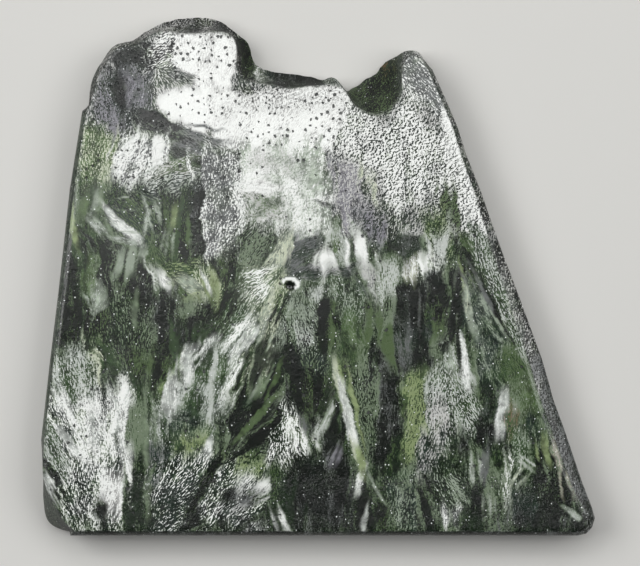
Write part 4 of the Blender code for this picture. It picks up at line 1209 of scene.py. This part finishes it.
@dataclass
class LappedStone:
    """Serpentinite with plumes of clinochlore, lapped on one face, sawn round it and broken along one end."""

    # Lapped stone has a low, even shine like an eggshell's, in which single plates of clinochlore flash. Its
    # dark parts look wet and deep, its silver parts like brushed metal, though none of it is metal. Sawn and
    # broken stone is dull and paler, as if dusty. The flashing plates, the light and shade on unpolished
    # grains, the shade in the pits and part of the fibres' silver sheen are painted into its colour.

    add: Adder = field(init=False, repr=False)
    looks: dict[str, Socket] = field(init=False, repr=False)  # what its nodes share, by name

    refraction: float = 1.58  # of clinochlore
    # Fibres are drawn coarser than real ones, 0.05 to 0.2 wide, as only their bundles show from here.
    coarse_fibre: float = 1.05
    coarse_length: float = 7.0
    coarse_share: float = 0.72
    fine_fibre: float = 0.42
    fine_length: float = 2.0
    fine_share: float = 0.3
    fibre_contrast: float = 4.2
    # Glints are about twice as wide as the real plates' edges, so that they are wider than a pixel.
    glint: float = 0.21
    glint_length: float = 0.3
    cloud_size: float = 2.6  # of patches with more silver
    depth_cloud: float = 1.3  # of patches where the dark stone looks deeper
    green_cloud: float = 3.4  # of patches stained by green chlorite
    green_tint: str = "#e7ffce"
    # Grains of unpolished stone get painted light on one side and painted shade on the other: a noise less
    # the same noise moved a little. The same values raise them as bumps.
    gravel_size: float = 0.34  # of real grains
    gravel_lit_from: tuple[float, float, float] = (0.1, -0.07, 0.05)
    # Painted glints of single crystals: how far apart they are, and their colour.
    sparkle_spacing: float = 0.5
    sparkle_colour: str = "#edf1ef"
    pit_spacing: float = 0.9
    # Shade painted into the pits: its colour, and how much of it covers the stone's.
    painted_pit_shade: str = "#272b29"
    pit_shade_strength: float = 0.92
    pit_depth: float = 1.3  # as a share of the relief
    relief: float = 0.16  # of the bumps, at most
    lapped_roughness: float = 0.28
    polish_gain: float = 0.13  # how much less rough the best lapped stone is
    gravel_roughness: float = 0.1
    broken_roughness: float = 0.45
    pit_roughness: float = 0.3

    def material(self, name: str) -> bpy.types.Material:
        """Builds the stone's material.

        Args:
            name: What to call it.

        Returns:
            The material, for a mesh that has the stone's attributes.
        """
        material = bpy.data.materials.new(name)
        material.use_nodes = True
        tree = material.node_tree
        self.add, self.looks = partial(add_node, tree), {}
        self.fetch_attributes()
        self.draw_patterns()
        shader = tree.nodes["Principled BSDF"]
        tree.links.new(self.with_painted_pit_shade(self.with_sparkles(self.tint())), shader.inputs["Base Color"])
        tree.links.new(self.roughness(), shader.inputs["Roughness"])
        tree.links.new(self.bumps(), shader.inputs["Normal"])
        shader.inputs["IOR"].default_value = self.refraction
        shader.inputs["Metallic"].default_value = 0.0
        return material

    def fetch_attributes(self) -> None:
        """Fetches what the mesh says about each point, and its place in millimetres."""
        add, looks = self.add, self.looks
        looks["fibre"] = add("Attribute", output="Vector", attribute_name="fibre")
        for key in ("light", "dark"):
            looks[key] = add("Attribute", output="Color", attribute_name=key)
        for key in ("grain", "bundle", "pits", "gravel", "polish", "broken"):
            looks[key] = add("Attribute", output="Fac", attribute_name=key)
        metres = add("TexCoord", output="Object")
        looks["place"] = add("VectorMath", {0: metres, "Scale": 1 / MM}, operation="SCALE")

    def combed(self, width: float, length: float, samples: int) -> Socket:
        """Draws noise that is drawn out along the fibres, as the sum of samples of it in a row.

        Args:
            width: The noise's size across the fibres.
            length: How far apart the first and last samples are.
            samples: How many there are.

        Returns:
            Values round 0, mostly between -1 and 1.
        """
        add, looks, total = self.add, self.looks, 0.0
        gain = self.fibre_contrast / samples
        for sample in range(samples):
            shift = (sample / (samples - 1) - 0.5) * length
            moved = (looks["fibre"], (shift,) * 3, looks["place"])
            place = add("VectorMath", moved, operation="MULTIPLY_ADD")
            noise = add("TexNoise", {"Vector": place, "Scale": 1 / width, "Detail": 0.0})
            total = add("Math", (noise, total), operation="ADD")
        return add("Math", (total, gain, -0.5 * gain * samples), operation="MULTIPLY_ADD")

    def draw_patterns(self) -> None:
        """Draws fibres, glints, clouds, the grains of unpolished stone with their painted light and shade,
        and the pits.
        """
        add, looks, place = self.add, self.looks, self.looks["place"]
        looks["coarse"] = self.combed(self.coarse_fibre, self.coarse_length, 8)
        looks["fine"] = self.combed(self.fine_fibre, self.fine_length, 5)
        looks["glints"] = self.combed(self.glint, self.glint_length, 3)
        looks["cloud"] = add("TexNoise", {"Vector": place, "Scale": 1 / self.cloud_size, "Detail": 3.0})
        aside = add("VectorMath", (place, (1, 1, 1), self.gravel_lit_from), operation="MULTIPLY_ADD")
        grains = {"Scale": 1 / self.gravel_size, "Detail": 1.0}
        near, far = (add("TexNoise", {"Vector": at, **grains}) for at in (place, aside))
        shaded = add("Math", (near, far), operation="SUBTRACT")
        looks["pebbles"] = add("MapRange", (shaded, -0.13, 0.0), **SMOOTH)
        looks["pit"] = self.pits()

    def silver(self) -> Socket:
        """Works out how much of the fibres' colour covers the colour between them.

        Returns:
            A share from 0 to 1.
        """
        add, looks = self.add, self.looks
        grain, gravel, glints = looks["grain"], looks["gravel"], looks["glints"]
        coarse = add("Math", (looks["coarse"], self.coarse_share), operation="MULTIPLY")
        combing = add("Math", (looks["fine"], self.fine_share, coarse), operation="MULTIPLY_ADD")
        # Bright and dark specks along the fibres are painted glints of single plates and painted shade beside
        # them.
        bright = add("MapRange", (glints, 0.0, 0.55), **SMOOTH)
        dim = add("MapRange", (glints, -0.5, -0.05, -1.0, 0.0), **SMOOTH)
        specks = add("Math", (dim, grain, bright), operation="MULTIPLY_ADD")
        glitter = add("Math", (grain, 1.3, 0.1), operation="MULTIPLY_ADD")
        specks = add("Math", (specks, glitter), operation="MULTIPLY")
        # Fibres fade where the lap polished the stone best, and where its skin is bumpy.
        smeared = add("MapRange", (looks["polish"], 0.6, 1.0, 1.0, 0.3), **SMOOTH)
        calm = add("Math", (gravel, -0.6, smeared), operation="MULTIPLY_ADD")
        combing = add("Math", (combing, specks), operation="ADD")
        combing = add("Math", (combing, calm), operation="MULTIPLY")
        cloud = add("Math", (looks["cloud"], 0.5), operation="SUBTRACT")
        bundle = add("Math", (looks["bundle"], 0.5), operation="ADD")
        total = add("Math", (cloud, bundle), operation="ADD")
        # The grains of unpolished stone add their painted light and shade to the colour.
        pebbles = add("Math", (looks["pebbles"], 0.8), operation="SUBTRACT")
        gravel = add("Math", (gravel, 1.35), operation="MULTIPLY")
        total = add("Math", (pebbles, gravel, total), operation="MULTIPLY_ADD")
        total = add("Math", (combing, total), operation="ADD")
        total = add("MapRange", (total, 0.0, 1.0), **SMOOTH)
        return add("Math", (total, 1.9), operation="POWER")

    def tint(self) -> Socket:
        """Mixes the stone's two colours, with green chlorite wherever the silver is thin.

        Returns:
            The colour.
        """
        add, looks, silver = self.add, self.looks, self.silver()
        place, dark = looks["place"], looks["dark"]
        murk = add("TexNoise", {"Vector": place, "Scale": 1 / self.depth_cloud, "Detail": 2.0})
        murk = add("Math", (murk, 0.5), operation="SUBTRACT")
        depth = add("Math", (murk, 3.0, looks["coarse"]), operation="MULTIPLY_ADD")
        depth = add("MapRange", (depth, -1.2, 1.2, 0.45, 1.7), **SMOOTH)
        shaded = add("VectorMath", {0: dark, "Scale": depth}, operation="SCALE")
        colour = add("Mix", {0: silver, 6: shaded, 7: looks["light"]}, **COLOURS)
        thin = add("Math", (1.0, silver), operation="SUBTRACT")
        patchy = add("TexNoise", {"Vector": place, "Scale": 1 / self.green_cloud, "Detail": 2.0})
        patchy = add("MapRange", (patchy, 0.42, 0.62), **SMOOTH)
        thin = add("Math", (thin, patchy), operation="MULTIPLY")
        # Stone that is pale between its fibres, such as the lilac patches, isn't stained.
        stained = add("Math", (dark, -4.0, 0.8), operation="MULTIPLY_ADD", use_clamp=True)
        thin = add("Math", (thin, stained), operation="MULTIPLY")
        green = (*linear(self.green_tint), 1.0)
        return add("Mix", {0: thin, 6: colour, 7: green}, blend_type="MULTIPLY", **COLOURS)

    def with_sparkles(self, colour: Socket) -> Socket:
        """Paints glints of single crystals that catch the light, 0.04 to 0.2 mm across, into a colour.

        Args:
            colour: The stone's colour.

        Returns:
            The colour with the painted glints in it.
        """
        add, looks = self.add, self.looks
        inputs = {"Vector": looks["place"], "Scale": 1 / self.sparkle_spacing}
        cells = add("TexVoronoi", inputs).node.outputs
        size, chance, glow = add("SeparateColor", (cells["Color"],)).node.outputs
        share = add("Math", (looks["grain"], 0.2, -0.57), operation="MULTIPLY_ADD")
        share = add("Math", (looks["cloud"], 1.6, share), operation="MULTIPLY_ADD")
        present = add("Math", (chance, share), operation="LESS_THAN")
        radius = add("Math", (size, 0.16, 0.04), operation="MULTIPLY_ADD")
        inside = add("Math", (radius, cells["Distance"]), operation="SUBTRACT")
        inside = add("MapRange", (inside, -0.07, 0.03), **SMOOTH)
        strength = add("Math", (present, inside), operation="MULTIPLY")
        glow = add("Math", (glow, 0.7, 0.3), operation="MULTIPLY_ADD")
        strength = add("Math", (strength, glow), operation="MULTIPLY")
        glint_colour = (*linear(self.sparkle_colour), 1.0)
        return add("Mix", {0: strength, 6: colour, 7: glint_colour}, **COLOURS)

    def with_painted_pit_shade(self, colour: Socket) -> Socket:
        """Paints shade into the pits of a colour.

        Args:
            colour: The stone's colour.

        Returns:
            The colour with shade painted in its pits.
        """
        share = self.add("Math", (self.looks["pit"], self.pit_shade_strength), operation="MULTIPLY")
        painted_pit_shade = (*linear(self.painted_pit_shade), 1.0)
        return self.add("Mix", {0: share, 6: colour, 7: painted_pit_shade}, **COLOURS)

    def pits(self) -> Socket:
        """Draws small pits, 0.2 to 0.5 mm across, none of them quite round.

        Returns:
            How much of a pit each point is, from 0 to 1.
        """
        add, looks = self.add, self.looks
        jitter = add("TexNoise", {"Vector": looks["place"], "Scale": 3.0}, "Color")
        place = add("VectorMath", (jitter, (0.5,) * 3, looks["place"]), operation="MULTIPLY_ADD")
        inputs = {"Vector": place, "Scale": 1 / self.pit_spacing}
        cells = add("TexVoronoi", inputs, voronoi_dimensions="2D").node.outputs
        chance, size, _ = add("SeparateColor", (cells["Color"],)).node.outputs
        present = add("Math", (chance, looks["pits"]), operation="LESS_THAN")
        size = add("Math", (size, 2.0), operation="POWER")
        radius = add("Math", (size, 0.18, 0.1), operation="MULTIPLY_ADD")
        inside = add("Math", (radius, cells["Distance"]), operation="SUBTRACT")
        inside = add("MapRange", (inside, -0.05, 0.05), **SMOOTH)
        return add("Math", (present, inside), operation="MULTIPLY")

    def bumps(self) -> Socket:
        """Raises the grains of unpolished stone and the fibres of broken stone, and sinks the pits.

        Returns:
            The shader's normal.
        """
        add, looks = self.add, self.looks
        grains = add("Math", (looks["pebbles"], looks["gravel"]), operation="MULTIPLY")
        splinters = add("MapRange", (looks["glints"], -0.5, 0.5), **SMOOTH)
        splinter_height = add("Math", (looks["broken"], 0.9, 0.03), operation="MULTIPLY_ADD")
        height = add("Math", (splinters, splinter_height, grains), operation="MULTIPLY_ADD")
        height = add("Math", (looks["pit"], -self.pit_depth, height), operation="MULTIPLY_ADD")
        return add("Bump", {"Height": height, "Strength": 1.0, "Distance": self.relief * MM})

    def roughness(self) -> Socket:
        """Works out how dull the stone is: least where it is polished best, most where it is broken.

        Returns:
            The shader's roughness.
        """
        add, looks = self.add, self.looks
        lapped = (looks["polish"], -self.polish_gain, self.lapped_roughness)
        dull = add("Math", lapped, operation="MULTIPLY_ADD")
        dull = add("Math", (looks["gravel"], self.gravel_roughness, dull), operation="MULTIPLY_ADD")
        dull = add("Math", (looks["broken"], self.broken_roughness, dull), operation="MULTIPLY_ADD")
        cloud = add("Math", (looks["cloud"], 0.5), operation="SUBTRACT")
        dull = add("Math", (cloud, 0.12, dull), operation="MULTIPLY_ADD")
        return add("Math", (looks["pit"], self.pit_roughness, dull), operation="MULTIPLY_ADD", use_clamp=True)


@dataclass(frozen=True)
class BakeMap:
    """Where the slab's parts lie in the square picture that its look is baked into.

    The face is large, the back is small in the gap beside it, and the side is in two strips below them.
    Places and scales are shares of the picture's side, scales for each millimetre.
    """

    half_size: Point = (42.6, 40.0)  # of the slab
    face_corner: Point = (0.008, 0.16)
    face_scale: float = 1 / 96.5
    back_corner: Point = (0.99, 0.99)
    back_scale: float = 1 / 296
    strip_corner: Point = (0.008, 0.006)
    strip_length: float = 0.98
    strip_height: float = 0.066
    strip_pitch: float = 0.074
    strip_spare: float = 2.0  # millimetres of a strip's length that are left free

    def lay(self, mesh: bpy.types.Mesh, points: Array, rim: Rim, sides: int, front: int) -> None:
        """Gives each corner of each face its place in the picture.

        Args:
            mesh: The slab, whose faces are the side's quads, then the face's triangles, then the back's.
            points: Its points, in millimetres.
            rim: Its side.
            sides: How many quads the side has.
            front: How many triangles the face has.
        """
        levels, half = rim.shape[1], rim.length / 2
        corners = np.empty(len(mesh.loops), np.int32)
        mesh.loops.foreach_get("vertex_index", corners)
        places = np.empty((len(corners), 2))
        side_part = slice(0, sides * 4)
        face_part = slice(sides * 4, sides * 4 + front * 3)
        back_part = slice(sides * 4 + front * 3, len(corners))

        # The quads that close the ring end at the whole length, not at 0.
        station = corners[side_part] // levels
        around = rim.along[station]
        closing = station.reshape(-1, 4).max(1) - station.reshape(-1, 4).min(1) > 1
        around = np.where(np.repeat(closing, 4) & (around == 0), rim.length, around)
        strip = np.repeat(around.reshape(-1, 4).mean(1) > half, 4)
        height = corners[side_part] % levels / (levels - 1)
        across = (around - strip * half) / (half + self.strip_spare) * self.strip_length
        places[side_part, 0] = self.strip_corner[0] + across
        places[side_part, 1] = self.strip_corner[1] + height * self.strip_height + strip * self.strip_pitch
        face = points[corners[face_part], :2] + self.half_size
        places[face_part] = face * self.face_scale + self.face_corner
        back = points[corners[back_part], :2] + self.half_size
        places[back_part] = self.back_corner - back * self.back_scale
        mesh.uv_layers.new(name="OFBake").uv.foreach_set("vector", places.ravel())


@dataclass(frozen=True)
class Slab:
    """The whole stone, as one closed mesh with the look of each of its points."""

    rim: Rim
    finish: LappedStone = field(default_factory=LappedStone)
    bake_map: BakeMap = BakeMap()
    face_pitch: float = 0.265  # size of the face's triangles
    back_pitch: float = 1.6
    waviness: float = 0.07  # of the face, up and down
    wave_length: float = 7.0
    bump_height: float = 0.05
    bump_size: float = 0.8
    worn_width: float = 0.7
    stray_size: float = 1 / 0.45  # of the bends in the plumes' borders
    lowest_plume: float = 0.5  # height below which the side is plain
    edge_rawness: float = 0.4  # how far the face's edge is from lapped
    raw_gravel: float = 0.45  # of sawn and broken stone
    raw_polish: float = 0.2  # of it, as a share of lapped stone's
    smoothed: float = 33.0  # degrees between faces that are shaded as one
    centring: Point = (-0.055, -0.04)  # puts the middle of the stone's box over the origin
    name: str = "plumose_slab"

    def lattice(self, boundary: Array, pitch: float) -> tuple[Array, Array]:
        """Fills a boundary with triangles of one size.

        Args:
            boundary: The boundary's points, anticlockwise or clockwise.
            pitch: The triangles' side.

        Returns:
            The inner points, and the triangles, whose numbers count the boundary's points first.
        """
        low, high = boundary.min(0), boundary.max(0)
        rows = []
        for row, y in enumerate(np.arange(low[1], high[1], pitch * math.sqrt(0.75))):
            x = np.arange(low[0] + (row % 2) * pitch / 2, high[0], pitch)
            rows.append(np.column_stack([x, np.full_like(x, y)]))
        inner = np.vstack(rows)
        ring = [tuple(p) for p in boundary.tolist()]
        inner = inner[distance_inside(ring, inner[:, 0], inner[:, 1]) > 0.5 * pitch]
        points = [Vector(p) for p in (*ring, *inner.tolist())]
        _, _, faces, origins, _, _ = delaunay_2d_cdt(points, [], [list(range(len(ring)))], 1, 1e-6)
        first = np.array([sources[0] for sources in origins])
        faces = first[np.array(faces)]
        flat = np.vstack([boundary, inner])
        a, b, c = flat[faces[:, 0]], flat[faces[:, 1]], flat[faces[:, 2]]
        turn = (b[:, 0] - a[:, 0]) * (c[:, 1] - a[:, 1]) - (b[:, 1] - a[:, 1]) * (c[:, 0] - a[:, 0])
        faces[turn < 0] = faces[turn < 0][:, ::-1]
        return inner, faces

    def face_heights(self, inner: Array) -> Array:
        """Works out the face's height: flat but for its waves, cracks, cavity and worn edge.

        Args:
            inner: The x and y of points of the face.

        Returns:
            The height of each.
        """
        x, y = inner.T
        top = self.rim.thickness
        inside = distance_inside([tuple(p) for p in self.rim.rings[:, -1, :2].tolist()], x, y)
        waves = uneven(x / self.wave_length, y / self.wave_length, Seed.WAVES, 2)
        height = top - self.waviness * waves * smooth_step(0.0, 3.0, inside)
        bumps = uneven(x / self.bump_size, y / self.bump_size, Seed.BUMPS, 2)
        height -= self.bump_height * self.skin(x, y)["gravel"] * bumps * smooth_step(0.0, 1.0, inside)
        away = np.hypot(x - OPEN_CAVITY.centre[0], y - OPEN_CAVITY.centre[1]) / OPEN_CAVITY.radius
        height -= OPEN_CAVITY.depth * (1 - smooth_step(0.35, 1.1, away))
        for crack in CRACKS:
            dx, dy = crack.end[0] - crack.start[0], crack.end[1] - crack.start[1]
            ahead = (x - crack.start[0]) * dx + (y - crack.start[1]) * dy
            share = np.clip(ahead / (dx * dx + dy * dy), 0, 1)
            off = np.hypot(x - crack.start[0] - share * dx, y - crack.start[1] - share * dy)
            height -= crack.depth * (1 - smooth_step(0.0, crack.width, off))
        worn = self.rim.edge_wear * (1 - smooth_step(0.0, self.worn_width, inside))
        return np.minimum(height, top) - worn

    def skin(self, x: Array, y: Array) -> dict[str, Array]:
        """Works out how the lap left each point.

        Args:
            x: The points' x.
            y: The points' y.

        Returns:
            Their pits, gravel and polish.
        """
        found = {key: np.full(x.shape, value) for key, value in PLAIN_SKIN.items()}
        stray = 1.6 * (uneven(x / 3, y / 3, Seed.SKIN_BORDER) - 0.5)
        for patch in SKINS:
            share = smooth_step(-0.5, 1.0, (distance_inside(patch.corners, x, y) + stray) / patch.fringe)
            for key, values in found.items():
                values += (getattr(patch, key) - values) * share
        return found

    def build(self) -> bpy.types.Object:
        """Makes the slab, with its look in attributes, its map for baking and its finish.

        Returns:
            The slab's object.
        """
        rings = self.rim.rings
        count, levels = self.rim.shape
        inner, face = self.lattice(rings[:, -1, :2], self.face_pitch)
        under, back = self.lattice(rings[:, 0, :2], self.back_pitch)
        face_points = np.column_stack([inner, self.face_heights(inner)])
        back_points = np.column_stack([under, np.zeros(len(under))])
        points = np.vstack([rings.reshape(-1, 3), face_points, back_points])

        number = np.arange(count * levels).reshape(count, levels)
        after = np.roll(number, -1, 0)
        quads = np.stack([number[:, :-1], number[:, 1:], after[:, 1:], after[:, :-1]], -1).reshape(-1, 4)
        face_numbers = np.concatenate([number[:, -1], count * levels + np.arange(len(inner))])
        back_numbers = np.concatenate([number[:, 0], count * levels + len(inner) + np.arange(len(under))])
        face, back = face_numbers[face], back_numbers[back][:, ::-1]
        mesh = bpy.data.meshes.new(self.name)
        mesh.from_pydata((points * MM).tolist(), [], [*quads.tolist(), *face.tolist(), *back.tolist()])
        mesh.polygons.foreach_set("use_smooth", [True] * len(mesh.polygons))
        mesh.set_sharp_from_angle(angle=math.radians(self.smoothed))
        self.dress(mesh, points, len(inner))
        self.bake_map.lay(mesh, points, self.rim, len(quads), len(face))
        mesh.materials.append(self.finish.material("plumose_stone"))
        slab = bpy.data.objects.new(self.name, mesh)
        slab.location = Vector((*self.centring, 0.0)) * MM
        bpy.context.scene.collection.objects.link(slab)
        log.info("slab: %d points, %d faces", len(points), len(mesh.polygons))
        return slab

    def rawness(self, total: int, inner: int) -> Array:
        """Works out how far each point is from lapped: 1 on the sides and the back, less at the face's edge.

        Args:
            total: How many points the slab has.
            inner: How many of them are inside the face's edge.

        Returns:
            A share for each point.
        """
        count, levels = self.rim.shape
        raw = np.ones(total)
        raw[count * levels : count * levels + inner] = 0.0
        raw[levels - 1 : count * levels : levels] = self.edge_rawness
        return raw

    def dress(self, mesh: bpy.types.Mesh, points: Array, inner: int) -> None:
        """Gives every point of the mesh its colours, fibres and surface.

        Args:
            mesh: The slab.
            points: Its points, in millimetres.
            inner: How many of them are inside the face's edge.
        """
        x, y, z = points.T
        total = len(points)
        strays = (
            uneven(x / self.stray_size + shift, y / self.stray_size, seed) - 0.5
            for shift, seed in ((0, Seed.STRAY_ACROSS), (31, Seed.STRAY_UP))
        )
        stray = np.stack(list(strays), 1) * 2
        # A point that no plume may cover is put out of reach of all of them.
        covered_x = np.where(z > self.lowest_plume, x, 1e6)
        pattern = Pattern.plain(total, SAGE, DEEP, 0.15)
        for plume in PLUMES:
            pattern.lay(plume, covered_x, y, stray)
        side_look = Pattern.plain(total, SAWDUST, SLATE, 0.5)
        for plume in SIDE_PATCHES:
            side_look.lay(plume, covered_x, y, stray)
        raw = self.rawness(total, inner)
        pattern.blend(side_look, raw)

        skin = self.skin(x, y)
        skin["pits"] *= 1 - raw
        skin["gravel"] += (self.raw_gravel - skin["gravel"]) * raw
        skin["polish"] *= 1 - (1 - self.raw_polish) * raw
        broken = np.zeros(total)
        broken[: self.rim.broken.size] = self.rim.broken.reshape(-1)
        for key, values in (("light", pattern.light), ("dark", pattern.dark)):
            colours = np.column_stack([values, np.ones(total)])
            mesh.attributes.new(key, "FLOAT_COLOR", "POINT").data.foreach_set("color", colours.ravel())
        flow = mesh.attributes.new("fibre", "FLOAT_VECTOR", "POINT")
        flow.data.foreach_set("vector", pattern.directions(0.5 * stray[:, 0]).ravel())
        numbers = {**skin, "grain": pattern.grain, "bundle": pattern.bundle, "broken": broken}
        for key, values in numbers.items():
            mesh.attributes.new(key, "FLOAT", "POINT").data.foreach_set("value", values)


@dataclass(frozen=True)
class MattPaper:
    """Pale uncoated paper, rolled out."""

    # Its fibres scatter all light, so it has an even tone without a highlight, on which only shadows show.
    colour: str = "#d6d5d1"
    roughness: float = 0.9

    def material(self, name: str) -> bpy.types.Material:
        """Builds the paper's material.

        Args:
            name: What to call it.

        Returns:
            The material.
        """
        material = bpy.data.materials.new(name)
        material.use_nodes = True
        shader = material.node_tree.nodes["Principled BSDF"]
        shader.inputs["Base Color"].default_value = (*linear(self.colour), 1.0)
        shader.inputs["Roughness"].default_value = self.roughness
        return material


@dataclass(frozen=True)
class Softbox:
    """A soft light with an even glow, facing the slab."""

    name: str
    place: tuple[float, float, float]
    size: Point
    glow: float  # radiance
    target: tuple[float, float, float] = (0, 0, 4)

    def build(self) -> bpy.types.Object:
        """Hangs the light.

        Returns:
            The light's object.
        """
        lamp = bpy.data.lights.new(self.name, "AREA")
        lamp.shape = "RECTANGLE"
        lamp.size, lamp.size_y = (side * MM for side in self.size)
        lamp.energy = self.glow * math.pi * lamp.size * lamp.size_y
        light = bpy.data.objects.new(self.name, lamp)
        light.location = Vector(self.place) * MM
        light.rotation_euler = (Vector(self.place) - Vector(self.target)).to_track_quat("Z", "Y").to_euler()
        bpy.context.scene.collection.objects.link(light)
        return light


@dataclass(frozen=True)
class Studio:
    """The pale floor, the lights and the camera straight above the slab."""

    floor_size: float = 2600.0
    paper: MattPaper = MattPaper()
    lens: float = 150.0
    sensor: float = 36.0
    clip: Point = (0.02, 20.0)  # metres
    view_width: float = 97.85  # at the height of the polished face
    view_centre: Point = (0.4, -1.22)
    room_colour: str = "#f3f9ff"
    room_glow: float = 0.06
    lights: tuple[Softbox, ...] = (
        Softbox("sheen_card", (-24, 66, 468), (130, 60), 4.0),
        Softbox("left_softbox", (-430, 180, 620), (520, 440), 4.7),
        Softbox("right_softbox", (440, 80, 620), (460, 460), 3.0),
        Softbox("far_softbox", (60, 420, 640), (600, 300), 2.9),
    )

    def lay_floor(self) -> bpy.types.Object:
        """Rolls out the paper under the slab.

        Returns:
            The floor's object.
        """
        half = self.floor_size / 2 * MM
        corners = [(-half, -half, 0), (half, -half, 0), (half, half, 0), (-half, half, 0)]
        mesh = bpy.data.meshes.new("floor")
        mesh.from_pydata(corners, [], [(0, 1, 2, 3)])
        mesh.materials.append(self.paper.material("matt_paper"))
        floor = bpy.data.objects.new("floor", mesh)
        bpy.context.scene.collection.objects.link(floor)
        return floor

    def light(self) -> None:
        """Hangs the softboxes and dims the room round them."""
        for softbox in self.lights:
            softbox.build()
        world = bpy.data.worlds.new("room")
        world.use_nodes = True
        background = world.node_tree.nodes["Background"]
        background.inputs["Color"].default_value = (*linear(self.room_colour), 1.0)
        background.inputs["Strength"].default_value = self.room_glow
        bpy.context.scene.world = world

    def aim_camera(self, target_height: float) -> bpy.types.Object:
        """Puts the camera straight above the slab, with the slab's broken end at the top of the picture.

        Args:
            target_height: The height at which the view is as wide as it should be.

        Returns:
            The camera.
        """
        camera = bpy.data.cameras.new("camera")
        camera.lens, camera.sensor_width = self.lens, self.sensor
        camera.clip_start, camera.clip_end = self.clip
        distance = self.view_width * self.lens / self.sensor
        view = bpy.data.objects.new("camera", camera)
        view.location = Vector((*self.view_centre, target_height + distance)) * MM
        bpy.context.scene.collection.objects.link(view)
        bpy.context.scene.camera = view
        return view


def main() -> None:
    """Builds the slab and its studio."""
    rim = Rim()
    rim.build()
    log.info("side: %d stations, %d heights", *rim.shape)
    slab = Slab(rim).build()
    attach(slab, "root")
    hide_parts("serpentinite_slab")

    studio = Studio()
    studio.lay_floor()
    studio.light()
    studio.aim_camera(rim.thickness)
    bpy.context.scene.view_settings.view_transform = "Standard"
    log.info("studio: %d lights", len(studio.lights))


if __name__ == "__main__":
    logging.basicConfig(level=logging.INFO, format="%(name)s: %(message)s")
    main()
